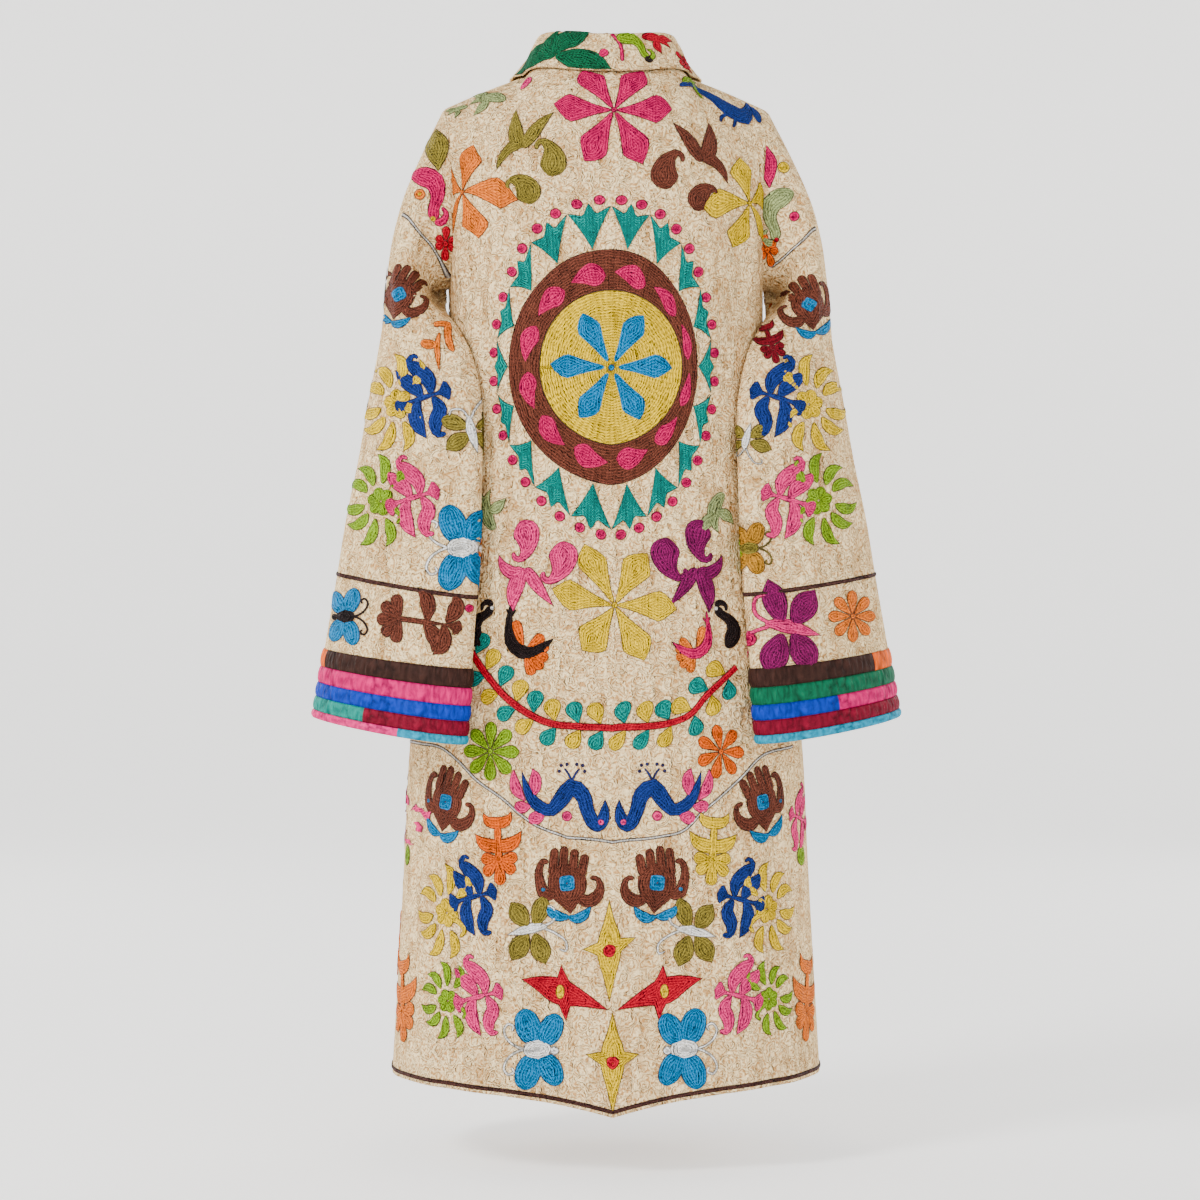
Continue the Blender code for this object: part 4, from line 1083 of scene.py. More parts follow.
def silk_strip(name, top, bottom, colours, flip, node):
    """A ring of silk: a half-sine swell across its width, times 1 + uneven waves round it."""
    turn = np.linspace(0, 2 * math.pi, 361)[:-1]
    across = np.linspace(0, 1, 9)
    base = sleeve_points(turn, top + (bottom - top) * across)
    out = base - base.mean(1, keepdims=True)
    ring_normal = normals_of(np.concatenate([base, base[:, :1]], 1), True)[:, :-1]
    ring_normal *= np.sign((ring_normal * out).sum())
    swell = np.sin(math.pi * across)[:, None] ** 0.6
    seed = sum(ord(letter) for letter in name)
    waves = (
        0.45 * np.sin(turn * 61 + seed + 1.6 * np.sin(turn * 5 + seed))
        + 0.35 * np.sin(turn * 97 + 2.1 * np.sin(turn * 7 + 2 * seed))
        + 0.20 * np.sin(turn * 38 + 3 * seed)
    )
    slant = 0.25 * np.sin(turn * 43 + seed)[None] * (across[:, None] - 0.5)
    gather = GATHER_HEIGHT * (0.5 + 0.5 * waves[None] + slant)
    height = CLOTH / 2 + SILK_OFF_CLOTH + SILK_THICKNESS + swell * (SILK_RISE + gather)
    points = (base + ring_normal * height[..., None]) * flip
    quads = grid_quads(*points.shape[:2], True)
    mid = points.reshape(-1, 3)[quads]
    cross = np.cross(mid[:, 2] - mid[:, 0], mid[:, 3] - mid[:, 1])
    if (cross * (out * flip).reshape(-1, 3)[quads[:, 0]]).sum() < 0:
        quads = quads[:, ::-1]
    uv = np.stack(np.broadcast_arrays(turn * SILK_A_RADIAN, across[:, None] * SILK_ACROSS), -1)
    share = (1 - np.cos(turn)) / 2
    names = [name_of for name_of, _ in colours]
    ends = np.array([end for _, end in colours])
    pick = np.array([SILK_SLOT[n] for n in names])[np.clip(np.searchsorted(ends, share), 0, len(ends) - 1)]
    slots = np.tile(pick, len(across) - 1)
    made = make_mesh(name, points.reshape(-1, 3), quads, list(SILK.values()), uv.reshape(-1, 2), slots)
    solid = made.modifiers.new("silk", "SOLIDIFY")
    solid.thickness = SILK_THICKNESS
    solid.offset = -1.0
    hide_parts(node)
    round_the_sleeve = np.linalg.norm(np.roll(base, -1, 1) - base, axis=-1).sum(1).mean()
    width = area_of(base, True) / round_the_sleeve
    area = area_of(points, True)
    length = area / width
    # A sheet can't be stated narrower than this, so the edge strip counts a little of its turned edge.
    sizes = [round(length, 3), round(width, 4), round(round_the_sleeve, 3)]
    print(name, "length and width of the cut, and the way round the cuff:", sizes)


for i, strip in enumerate(STRIPS):
    for side, flip in SIDES:
        label = "%d_%s" % (i + 1, side)
        ends = STRIP_ENDS[i : i + 2]
        silk_strip("silk_strip_" + label, *ends, getattr(strip, side), flip, "cuff_strip_" + label)
print("silk strips:", 2 * len(STRIPS))

# %% [markdown]
# ## Pens for the embroidery
# An embroiderer draws a motif on the cloth and fills it with rows that follow its outline. Here a pen holds a
# place on the cloth: which way is right and up there, and how metres turn into the surface's own (p, q). A
# motif is drawn flat in units of about a millimetre, and each of its points is then looked up on the cloth.
# So every petal bends with every crease. Two shapes are enough: a band along a path, and a filled outline.

# %% Pens
UNIT = 0.00105
EDGE_LIFT = 0.00015
CROWN_LIFT = 0.00085
LAYER_LIFT = 0.00035
FULL_CROWN_HALF_WIDTH = 0.004
SMALLEST_FACE = 2e-9
MOST_STRETCH = {"seen": 3.0, "kept": 2.2, "": 2.2}
STRETCH_ALLOWANCE = 0.001
NEWTON_STEPS = 8

PLACES = {
    "back": (BACK, 1),
    "sleeve_left": (SLEEVE, 1),
    "sleeve_right": (SLEEVE, -1),
    "collar": (COLLAR, 1),
    "front_left": (FRONT, 1),
    "front_right": (FRONT, -1),
}
STITCHED = {place: [] for place in PLACES}
Seat = namedtuple("Seat", "place p q point right up to_p_q bends")
Pen = namedtuple("Pen", "seat matrix shift warp")


def seat_at(place, p, q, bends):
    """Right and up on the cloth, or in the picture, at (p, q), and the inverse of the 2 x 2 matrix that turns
    steps of p and q into metres along them."""
    surface, flip = PLACES[place]
    flipped = np.array([flip, 1.0, 1.0])
    a, b = surface.p_step, surface.q_step
    dp = (look_up(surface, p + a, q)[0] - look_up(surface, p - a, q)[0]) * flipped / (2 * a)
    dq = (look_up(surface, p, q + b)[0] - look_up(surface, p, q - b)[0]) * flipped / (2 * b)
    normal = look_up(surface, p, q)[1] * flipped
    up = np.array([0.0, 0.0, 1.0]) - normal * normal[2]
    up /= np.linalg.norm(up)
    right = np.cross(up, normal)
    if bends == "seen":
        right, up = picture_right, np.array([0.0, 0.0, 1.0])
    point = look_up(surface, p, q)[0] * flipped
    steps = [[dp @ right, dq @ right], [dp @ up, dq @ up]]
    return Seat(place, p, q, point, right, up, np.linalg.inv(steps), bends)


def turned(degrees, size, mirrored):
    """The 2 x 2 matrix that mirrors left and right, turns anticlockwise and resizes."""
    c = math.cos(math.radians(degrees)) * size
    s = math.sin(math.radians(degrees)) * size
    return np.array([[c * mirrored, -s], [s * mirrored, c]])


def pen_on(place, p, q, size=1.0, turn=0.0, mirrored=1, bends="kept"):
    """A pen at (p, q) of a surface; on a sleeve its drawing bends, with its lengths kept or as seen."""
    bends = bends if place.startswith("sleeve") else ""
    return Pen(seat_at(place, p, q, bends), turned(turn, size * UNIT, mirrored), np.zeros(2), None)


def pen_at(place, px, py, size=1.0, turn=0.0, mirrored=1):
    """A pen where the cloth falls on a pixel of the picture."""
    surface, flip = PLACES[place]
    p, q = find(surface.name, flip, px, py)
    return pen_on(place, p, q, size, turn, mirrored, "seen")


def moved(pen, x, y, turn=0.0, size=1.0, mirrored=1):
    """The same pen at (x, y) of its own drawing, turned and resized."""
    return Pen(pen.seat, pen.matrix @ turned(turn, size, mirrored), pen.shift + pen.matrix @ (x, y), pen.warp)


def flat_place(pen, xy):
    """From a motif's own drawing to metres right and up of the pen's seat."""
    if pen.warp is not None:
        xy = pen.warp(xy)
    return xy @ pen.matrix.T + pen.shift


def seam_sink(place, p, q):
    """How far the princess seam draws the stitches in, by the same bell curve as the shells."""
    if place != "back":
        return 0.0
    away = np.abs(np.abs(p) - np.interp(q, back_q, BACK_SEAM))
    open_seam = np.interp(q, back_q, BACK_LENGTH) - np.interp(q, back_q, BACK_SEAM) > SEAM_OPENS
    return SEAM_SINK * np.exp(-((away / SEAM_ROLL) ** 2)) * open_seam


def on_cloth(seat, flat):
    """The (p, q) of flat places: in even steps, or on a sleeve by Newton's method, as seen or with
    distances kept."""
    surface, flip = PLACES[seat.place]
    away = flat @ seat.to_p_q.T
    p = seat.p + away[..., 0]
    q = seat.q + away[..., 1]
    if not seat.bends:
        return p, q
    flipped = np.array([flip, 1.0, 1.0])
    axes = np.stack([seat.right, seat.up], -1)
    for _ in range(NEWTON_STEPS):
        here = look_up(surface, p, q)[0] * flipped
        along_p = ((look_up(surface, p + surface.p_step, q)[0] * flipped - here) @ axes) / surface.p_step
        along_q = ((look_up(surface, p, q + surface.q_step)[0] * flipped - here) @ axes) / surface.q_step
        offset = here - seat.point
        seen = offset @ axes
        size = np.linalg.norm(offset, axis=-1) / np.maximum(np.linalg.norm(seen, axis=-1), 1e-6)
        kept = np.ones_like(size) if seat.bends == "seen" else np.minimum(size, 2.0)
        miss = flat - seen * kept[..., None]
        det = along_p[..., 0] * along_q[..., 1] - along_q[..., 0] * along_p[..., 1]
        det = np.where(np.abs(det) < 1e-6, np.inf, det)
        dp = (miss[..., 0] * along_q[..., 1] - miss[..., 1] * along_q[..., 0]) / det
        dq = (miss[..., 1] * along_p[..., 0] - miss[..., 0] * along_p[..., 1]) / det
        p = p + np.clip(dp, -4 * surface.p_step, 4 * surface.p_step)
        q = np.clip(q + np.clip(dq, -6 * surface.q_step, 6 * surface.q_step), 0, 1)
    return p, q


def diagonals(corners):
    """The lengths of each face's two diagonals, added."""
    first = np.linalg.norm(corners[:, 2] - corners[:, 0], axis=1)
    return first + np.linalg.norm(corners[:, 3] - corners[:, 1], axis=1)


def lay(pen, thread, flat, uv, lift):
    """Look up a flat grid on the cloth and raise it; faces cut off at an edge or stretched too far are
    left out."""
    seat = pen.seat
    surface, flip = PLACES[seat.place]
    p, q = on_cloth(seat, flat)
    points, normals = look_up(surface, p, q)
    raised = CLOTH / 2 + lift - seam_sink(seat.place, p, q)
    points = (points + normals * raised[..., None]) * np.array([flip, 1.0, 1.0])
    quads = grid_quads(*flat.shape[:2])
    corners = points.reshape(-1, 3)[quads]
    cross = np.cross(corners[:, 2] - corners[:, 0], corners[:, 3] - corners[:, 1])
    outward = (normals * np.array([flip, 1.0, 1.0])).reshape(-1, 3)[quads[:, 0]]
    if (cross * outward).sum() < 0:
        quads = quads[:, ::-1]
    limit = MOST_STRETCH[seat.bends] * diagonals(flat.reshape(-1, 2)[quads]) + STRETCH_ALLOWANCE
    whole = (np.linalg.norm(cross, axis=1) > SMALLEST_FACE) & (diagonals(corners) < limit)
    STITCHED[seat.place].append((points.reshape(-1, 3), uv.reshape(-1, 2), quads[whole], STITCH_SLOT[thread]))


def ribbon(pen, thread, layer, x, y, half, rows=5, crown=CROWN_LIFT):
    """A band: path + side * half * t, t from -1 to 1, the side square to the path, its crown 1 - t^4 high."""
    path = np.stack([x, y], -1)
    step = np.gradient(path, axis=0)
    step /= np.maximum(np.linalg.norm(step, axis=1), 1e-9)[:, None]
    side = np.stack([-step[:, 1], step[:, 0]], -1)
    t = np.linspace(-1, 1, rows)
    flat = flat_place(pen, path[:, None] + side[:, None] * (half[:, None] * t)[..., None])
    width = np.linalg.norm(flat[:, -1] - flat[:, 0], axis=1)[:, None] / 2
    middle = flat[:, rows // 2]
    run = np.concatenate([[0.0], np.cumsum(np.linalg.norm(np.diff(middle, axis=0), axis=1))])
    uv = np.stack([np.broadcast_to(run[:, None], flat.shape[:2]), width * (1 - np.abs(t))], -1)
    bulge = np.minimum(1.0, width / FULL_CROWN_HALF_WIDTH) * (1 - t**4)
    lay(pen, thread, flat, uv, EDGE_LIFT + layer * LAYER_LIFT + crown * bulge)


def stroke(pen, thread, layer, places, count=13, rows=5, crown=CROWN_LIFT):
    """A band through a few (x, y, half width) places: a cubic between them, and a round end where it
    isn't a point."""
    places = np.array(places, float)
    if len(places) == 2:
        places = np.insert(places, 1, places.mean(0), axis=0)
    knots = np.concatenate([[0.0], np.cumsum(np.hypot(*np.diff(places[:, :2], axis=0).T))])
    run = knots[-1] * (1 - np.cos(np.linspace(0, math.pi, count))) / 2
    x, y, half = smooth(knots, places, run).T
    half = np.maximum(half, 0.02)
    for end, away in ((half[0], run), (half[-1], knots[-1] - run)):
        if end > 0.1:
            half = half * np.sqrt(np.clip(1 - np.clip(1 - away / end, 0, 1) ** 2, 0.0004, 1))
    ribbon(pen, thread, layer, x, y, half, rows, crown)


def blob(pen, thread, layer, x, y, outline, count=9):
    """A filled outline: a square grid pressed into a disc, each point then moved out along its ray to the
    outline."""
    u, v = np.meshgrid(np.linspace(-1, 1, count), np.linspace(-1, 1, count))
    dx = u * np.sqrt(1 - v * v / 2)
    dy = v * np.sqrt(1 - u * u / 2)
    rho = np.hypot(dx, dy)
    angle = np.arctan2(dy, dx)
    reach = outline(angle) * rho
    flat = flat_place(pen, np.stack([x + reach * np.cos(angle), y + reach * np.sin(angle)], -1))
    middle = flat_place(pen, np.array([x, y], float))
    away = np.linalg.norm(flat - middle, axis=2)
    edge = away / np.maximum(rho, 0.05)
    uv = np.stack([angle * edge * 0.5, edge - away], -1)
    bulge = np.minimum(1.0, edge / FULL_CROWN_HALF_WIDTH) * (1 - rho**4)
    lay(pen, thread, flat, uv, EDGE_LIFT + layer * LAYER_LIFT + CROWN_LIFT * bulge)


def disc(radius):
    """The outline of a circle."""
    return lambda angle: radius + 0 * angle


def oval(a, b, power=2.0):
    """The outline |x/a|^n + |y/b|^n = 1: an oval at n = 2, a rounded square above, a four-pointed
    star below 1."""
    return lambda angle: (
        np.abs(np.cos(angle) / a) ** power + np.abs(np.sin(angle) / b) ** power
    ) ** (-1 / power)


# %% [markdown]
# ## Flowers and leaves
# The kite flower is the coat's main motif: six petals that are narrow at the heart, widest near their ends
# and then cut to a point. The others are made the same way, each petal one band that follows its own outline.

# %% Flowers and leaves
def kite_flower(pen, thread, count=6, start=30.0, radius=58.0, fat=1.0):
    """Petals turned by 360 / count: half width 1.5 at the heart, 14 at four fifths, 0 at the tip."""
    for k in range(count):
        petal = moved(pen, 0, 0, start + 360 / count * k, radius / 58)
        places = [
            (0, 3, 1.5), (0, 18, 5.8 * fat), (0, 33, 11.6 * fat), (0, 43, 15.0 * fat), (1, 54, 7.0),
            (2, 60, 0),
        ]
        stroke(petal, thread, 1, places, 17, 7)
    blob(pen, thread, 2.2, 0, 0, disc(3.2), 7)


def round_flower(pen, thread, heart, count=8):
    """Drop-shaped petals round a small heart."""
    for k in range(count):
        petal = moved(pen, 0, 0, 360 / count * k)
        stroke(petal, thread, 1 + 0.4 * (k % 2), [(0, 3, 1.2), (0, 12, 4.5), (0, 22, 7.0), (0, 30, 5.0)])
    blob(pen, heart, 2.4, 0, 0, disc(3.4), 7)


def double_flower(pen, thread):
    """Two stacked rosettes with one long petal at each end."""
    for k, angle in enumerate((0, 62, 118, 180, 242, 298)):
        reach = 34 if angle in (0, 180) else 23
        petal = moved(pen, 0, 0, angle)
        places = [(0, 3, 2), (0, reach * 0.55, 7.5), (0, reach * 0.85, 7.0)]
        stroke(petal, thread, 1 + 0.35 * (k % 2), places)
    blob(pen, thread, 2.2, 0, 0, disc(6), 7)


def tulip(pen, thread):
    """A lily head: three pointed petals from one heart, the middle one broad."""
    stroke(pen, thread, 1.0, [(0, -14, 5), (-9, 0, 8), (-20, 15, 5.5), (-33, 30, 0)])
    stroke(pen, thread, 1.3, [(2, -14, 6), (10, 4, 10), (14, 22, 7.5), (14, 39, 0)])
    stroke(pen, thread, 1.6, [(2, -12, 5), (14, -8, 8), (26, -16, 6), (32, -30, 0)])


def paisley(pen, thread):
    """A drop that narrows upwards and curls over at its tip."""
    places = [
        (2, -22, 9), (-2, -8, 16.5), (-2, 6, 13), (3, 18, 7), (11, 24, 4.2), (17, 20, 3.6), (17, 14, 2.6),
    ]
    stroke(pen, thread, 1, places, 19, 7)


def leaf(pen, thread, length=30.0, half=8.0, bend=0.0):
    """A leaf from its stalk at the pen, pointed at both ends, bent sideways in the middle."""
    places = [(0, 0, 0.6), (bend, length * 0.35, half * 0.85), (bend, length * 0.65, half), (0, length, 0)]
    stroke(pen, thread, 1, places)


def drop_leaf(pen, thread, length=26.0, half=9.0):
    """A leaf with its tip at the pen and a round far end."""
    stroke(pen, thread, 1, [(0, 1, 0.4), (0, length * 0.4, half * 0.75), (0, length * 0.75, half)])


def broad_leaves(pen, thread):
    """Three wide veined leaves that fan out of one stalk."""
    stroke(pen, thread, 1.0, [(0, -4, 3), (-22, 2, 15), (-46, -6, 17), (-66, -26, 0)], 17, 7)
    stroke(pen, thread, 1.4, [(0, -2, 3), (4, 12, 14), (22, 26, 15), (44, 32, 0)], 17, 7)
    stroke(pen, thread, 1.8, [(0, -4, 3), (18, -8, 12), (38, -16, 13), (58, -30, 0)], 17, 7)
    stroke(pen, thread, 1.2, [(-2, -2, 3), (-12, 16, 11), (-6, 32, 0)], 15, 7)


def leafy_sprig(pen, thread):
    """A short stem with three unequal leaves."""
    stroke(pen, thread, 1.0, [(-20, -8, 4), (-8, 2, 8), (8, 6, 7), (24, 0, 0)])
    stroke(pen, thread, 1.3, [(2, 4, 3), (12, 14, 7), (26, 20, 0)])
    stroke(pen, thread, 1.5, [(0, 2, 3), (4, -10, 7), (14, -20, 0)])


def sprig_flower(pen, thread):
    """A fan of eight separate curved leaves, open to the left, round a lobed heart on a curled stalk."""
    fan = ((-30, 45), (2, 47), (34, 42), (64, 40), (94, 40), (124, 41), (156, 47), (190, 44))
    for angle, length in fan:
        bend = 5 if angle < 90 else -5
        places = [
            (bend * 0.4, 18, 1.6), (bend, length * 0.62, 5.6), (bend, length * 0.86, 5.6),
            (-bend * 0.6, length + 3, 0),
        ]
        stroke(moved(pen, 8, -1, angle), thread, 1.0, places)
    for k, angle in enumerate((15, 75, 135, 195, 255, 315)):
        stroke(moved(pen, 8, -1, angle), thread, 1.5 + 0.3 * (k % 2), [
            (0, 1, 2.8), (0, 9, 6.2), (0, 15, 5.2),
        ], 9)
    stroke(pen, thread, 1.2, [(14, -6, 3.4), (24, -10, 3.2), (30, -18, 2.8), (25, -24, 2.0)])


def four_leaf_plant(pen, thread):
    """A lying stem with a triangle at either end, and a pair of leaves to either side, some curled."""
    stroke(pen, thread, 1.9, [
        (-34, -11, 0), (-31, -10, 10), (-20, -6, 3.6), (0, 0, 3.6), (18, 5, 3.4), (27, 8, 10.5),
        (31, 9, 0),
    ], 21)
    stroke(pen, thread, 1.0, [(-2, 0, 3), (-10, 11, 8.5), (-24, 22, 7.5), (-34, 33, 0)], 17)
    stroke(pen, thread, 1.3, [
        (8, 3, 3), (6, 18, 8.5), (-8, 32, 9.0), (-18, 42, 4.5), (-13, 48, 2.8), (-7, 45, 2.0),
    ], 17)
    stroke(pen, thread, 1.1, [(-5, -1, 3), (-10, -16, 8.5), (-6, -32, 8.0), (4, -47, 0)], 15)
    stroke(pen, thread, 1.4, [
        (10, 1, 3), (18, -14, 8.5), (13, -30, 8.0), (17, -42, 4.4), (25, -41, 2.4),
    ], 17)


def crescent_plant(pen, thread):
    """A flower in a vase: a short bar with two horns, a wider crescent below, and petals that hang down."""
    stroke(pen, thread, 1.0, [(-17, 44, 0), (-12, 34, 5.5), (0, 31, 7), (12, 34, 5.5), (17, 44, 0)], 15)
    stroke(pen, thread, 1.3, [(-28, 21, 0), (-19, 10, 7), (0, 5, 8), (19, 10, 7), (28, 22, 0)], 17)
    stroke(pen, thread, 1.6, [(0, 27, 4.5), (0, 6, 4.5), (0, -10, 5)])
    for k, (angle, length) in enumerate(((86, 27), (132, 31), (180, 36), (228, 29), (274, 27))):
        petal = moved(pen, 0, -9, angle)
        stroke(petal, thread, 1.8 + 0.3 * (k % 2), [
            (0, 2, 3.0), (0, length * 0.5, 6.8), (0, length * 0.8, 8.2),
        ])
    blob(pen, thread, 2.7, 0, -9, disc(5.0), 7)


def branch(pen, thread):
    """A branch that lies on its side: a fan of five round leaves at one end, and two pairs of long ones."""
    stroke(pen, thread, 1.8, [(-22, 2, 3.0), (10, 0, 3.2), (38, -2, 3.0), (46, -4, 8), (50, -5, 0)], 17)
    for k, angle in enumerate((16, 56, 96, 136, 172)):
        petal = moved(pen, -18, 2, angle)
        stroke(petal, thread, 1.2 + 0.3 * (k % 2), [(0, 2, 2.4), (0, 15, 6.5), (0, 27, 8.4)])
    for x, angle, length in ((12, 18, 38), (32, -14, 34), (8, 204, 34), (30, 168, 36)):
        bend = 5 if angle < 90 else -5
        arm = moved(pen, x, 0, angle)
        stroke(arm, thread, 1.3, [
            (0, 1, 2.4), (bend, length * 0.4, 8.4), (bend, length * 0.7, 8.0), (-bend * 0.5, length, 0),
        ], 15)


def bracket_flower(pen, thread):
    """An angular hooked stem with one broad leaf at its side."""
    stroke(pen, thread, 1.0, [(-14, 32, 4.5), (0, 34, 5), (10, 32, 5.5)])
    stroke(pen, thread, 1.3, [(6, 34, 5.5), (8, 14, 5.5), (14, -2, 4.5), (18, -8, 2)])
    stroke(pen, thread, 1.6, [(-4, 20, 2), (-6, 4, 4.5), (-4, -18, 4.0), (-1, -38, 0)])
    stroke(pen, thread, 1.8, [(-5, 2, 3), (-18, 2, 7.5), (-30, 6, 5)])


# %% [markdown]
# ## Hands, birds and butterflies
# Open hands, paired birds and butterflies are old charms on such coats. Each is a handful of bands: fingers,
# wings, necks and tails. They are drawn from the general look of such work, and none follows an outline.

# %% Hands, birds and butterflies
def hand(pen, palm, stone, leaves, diamond=False):
    """Four fingers up, a thumb curled outwards, a curl like a bird's neck inwards, a stone in the palm."""
    stroke(pen, palm, 1.0, [(0, 22, 21), (0, 4, 22.5), (1, -12, 20), (3, -25, 9), (4, -35, 0)], 15, 9)
    for x, top, lean in ((-17, 40, 3), (-6, 42, 3), (5, 39, 4), (16, 33, 5)):
        stroke(pen, palm, 1.3, [(x, 8, 5.4), (x + lean * 0.5, 22, 5.4), (x + lean, top, 5.0)])
    thumb = [(-12, -12, 6.5), (-25, -12, 7.5), (-31, 2, 6), (-32, 15, 4.6), (-27, 25, 3.8), (-21, 24, 2.8)]
    stroke(pen, palm, 1.2, thumb, 15)
    curl = [(12, -16, 6), (24, -20, 7.5), (34, -14, 7), (38, -3, 4.6), (34, 6, 3.2), (26, 6, 2.4)]
    stroke(pen, palm, 1.4, curl, 15)
    stone_pen = moved(pen, 0, 0, 45 if diamond else 6)
    blob(stone_pen, stone, 2.6, 0, 0, oval(9.4, 9.8, 4.0))
    if not diamond:
        blob(pen, stone, 2.6, -27, -7, disc(3.0), 7)
    stroke(pen, leaves, 1.1, [(3, -38, 2), (-8, -38, 6.0), (-18, -33, 5.5), (-27, -22, 0)])
    stroke(pen, leaves, 1.3, [(1, -38, 2), (11, -40, 6.0), (20, -35, 5.5), (28, -24, 0)])


def peacock(pen, feather, dots):
    """An S-shaped bird with its tail in the air, its head bent down and up again, and a crest of twigs."""
    body = [
        (-44, 32, 0), (-38, 12, 4.5), (-29, -3, 6.5), (-14, -10, 7.0), (-3, 1, 8.5),
        (8, 14, 9.0), (19, 6, 8.5), (24, -10, 7.5), (32, -24, 7.0), (40, -27, 5.0),
    ]
    stroke(pen, feather, 1.4, body, 31, 7)
    stroke(pen, feather, 1.8, [(34, -29, 5), (40, -18, 6.5), (42, -8, 4.5), (42, 3, 0)])
    blob(pen, dots, 3.0, 38, -21, disc(3.6), 7)
    for side in (-1, 1):
        stroke(pen, feather, 1.0, [(8, 20, 1.3), (8 + 4 * side, 28, 1.2), (8 + 8 * side, 33, 1.0)], 7, 3)
        for x, y in ((5, 37), (11, 36), (13, 30)):
            blob(pen, feather, 1.2, 8 + x * side, y, disc(1.9), 5)
    stroke(pen, dots, 0.6, [(-33, 2, 1), (-30, 14, 6.5), (-30, 26, 5.5), (-33, 34, 0)])
    stroke(pen, dots, 0.6, [(-40, 0, 1), (-49, 12, 6.0), (-52, 24, 4.5), (-52, 34, 0)])
    stroke(pen, dots, 0.6, [(-34, -5, 2), (-44, -6, 7.0), (-50, -1, 4)])
    stroke(pen, dots, 0.6, [(-20, -16, 3), (-31, -17, 8.0), (-36, -14, 5)])
    blob(pen, dots, 1.0, 3, -16, disc(5.4), 7)


def perched_bird(pen, feather, leaves):
    """A slim bird with a raised tail, on a fan of six drop leaves."""
    for angle in (18, 200, 228, 255, 282, 310):
        drop_leaf(moved(pen, 2, -12, angle), leaves, 34 if angle > 90 else 44, 6.5)
    stroke(pen, feather, 2.2, [
        (-12, 36, 1.5), (-14, 16, 4.0), (-11, -4, 6.5), (4, -14, 7.0), (18, -9, 5.5), (32, 2, 0),
    ], 19)
    for x, y in ((-12, 38), (-7, 30), (-17, 31)):
        stroke(pen, feather, 2.4, [(-12, 24, 1.6), ((x - 12) / 2, (y + 24) / 2, 1.5), (x, y, 1.2)], 7, 3)


def hanging_bird(pen, feather, eye):
    """A bird seen from the side with its broad tail up and its curled beak down."""
    stroke(pen, feather, 1.0, [
        (-18, 34, 5), (-6, 28, 12), (8, 18, 13), (10, 0, 9), (2, -16, 7), (0, -28, 9),
    ], 17, 7)
    stroke(pen, feather, 1.5, [(0, -32, 5), (11, -31, 5), (16, -22, 3.4), (12, -15, 2.2)])
    blob(pen, eye, 2.6, -1, -27, disc(3.6), 7)


def flying_bird(pen, feather):
    """A bird in flight: a long thin tail, a full breast, one raised wing and two small feet."""
    stroke(pen, feather, 1.2, [
        (-48, 24, 3.4), (-30, 22, 4.6), (-12, 10, 6), (4, -7, 11), (20, -10, 10), (30, 2, 5), (34, 12, 2),
    ], 19, 7)
    stroke(pen, feather, 1.6, [(32, 6, 3), (38, -2, 6), (40, -14, 4)])
    stroke(pen, feather, 1.0, [(-2, -12, 2.2), (-10, -18, 2.0), (-12, -24, 1.4)], 9, 3)
    stroke(pen, feather, 1.0, [(6, -14, 2.2), (4, -22, 2.0), (0, -28, 1.4)], 9, 3)


def curled_feelers(pen, thread, layer, x, y, size=1.0):
    """Two thin feelers that leave to the left and curl up at their ends."""
    for side in (1, -1):
        places = [(0, 0), (-10, 4), (-19, 12), (-22, 22), (-17, 28), (-11, 25), (-13, 20)]
        stroke(moved(pen, x, y, 0, size), thread, layer, [(a, b * side, 1.7) for a, b in places], 25, 3)


def butterfly(pen, wings, body):
    """Two broad two-lobed wings above and below a lying body, and two curled feelers."""
    for side in (1, -1):
        stroke(pen, wings, 1.0, [
            (-2, 6 * side, 9), (-9, 22 * side, 14.5), (-13, 36 * side, 12.5), (-14, 45 * side, 9),
        ], 15, 7)
        stroke(pen, wings, 1.3, [
            (4, 6 * side, 9), (13, 19 * side, 13.5), (19, 33 * side, 11.0), (20, 40 * side, 8),
        ], 15, 7)
    curled_feelers(pen, body, 1.2, -15, 0)
    blob(pen, body, 2.4, 0, 0, oval(16, 11.5))
    blob(pen, body, 2.6, 19, -1, disc(5.0), 7)


def slim_butterfly(pen, wings, body):
    """A small butterfly with four full pointed wings, a thin lying body and two looped feelers."""
    wing_table = ((-4, 3, 34, 34, 10.5), (4, 4, -18, 38, 9.5), (-4, -3, 150, 36, 11), (4, -4, 200, 36, 11))
    for x, y, angle, length, half in wing_table:
        places = [(0, 0, 3), (0, length * 0.4, half), (0, length * 0.72, half * 0.9), (0, length, 0)]
        stroke(moved(pen, x, y, angle), wings, 1.1, places, 15, 7)
    stroke(pen, body, 2.2, [(-28, -6, 0), (-10, -1, 5.0), (6, 3, 5.5), (18, 4, 2)])
    stroke(pen, body, 1.9, [(14, 4, 1.7), (25, 12, 1.7), (24, 25, 1.6), (16, 26, 1.5), (14, 19, 1.2)], 17, 3)
    stroke(pen, body, 1.9, [
        (14, 2, 1.7), (27, -3, 1.7), (39, -13, 1.6), (38, -22, 1.5), (31, -20, 1.2),
    ], 17, 3)


def pointed_star(pen, thread, heart):
    """A tall star of two crossed spindles, with a round heart."""
    stroke(pen, thread, 1.0, [
        (0, 52, 0), (0, 28, 6), (0, 9, 12), (0, -9, 12), (0, -28, 6.5), (0, -54, 0),
    ], 21, 7)
    stroke(pen, thread, 1.1, [(-28, 1, 0), (-14, 1, 6), (0, 0, 12), (14, 1, 6), (28, 1, 0)], 17, 7)
    blob(pen, heart, 3.2, 0, -1, disc(7.0))


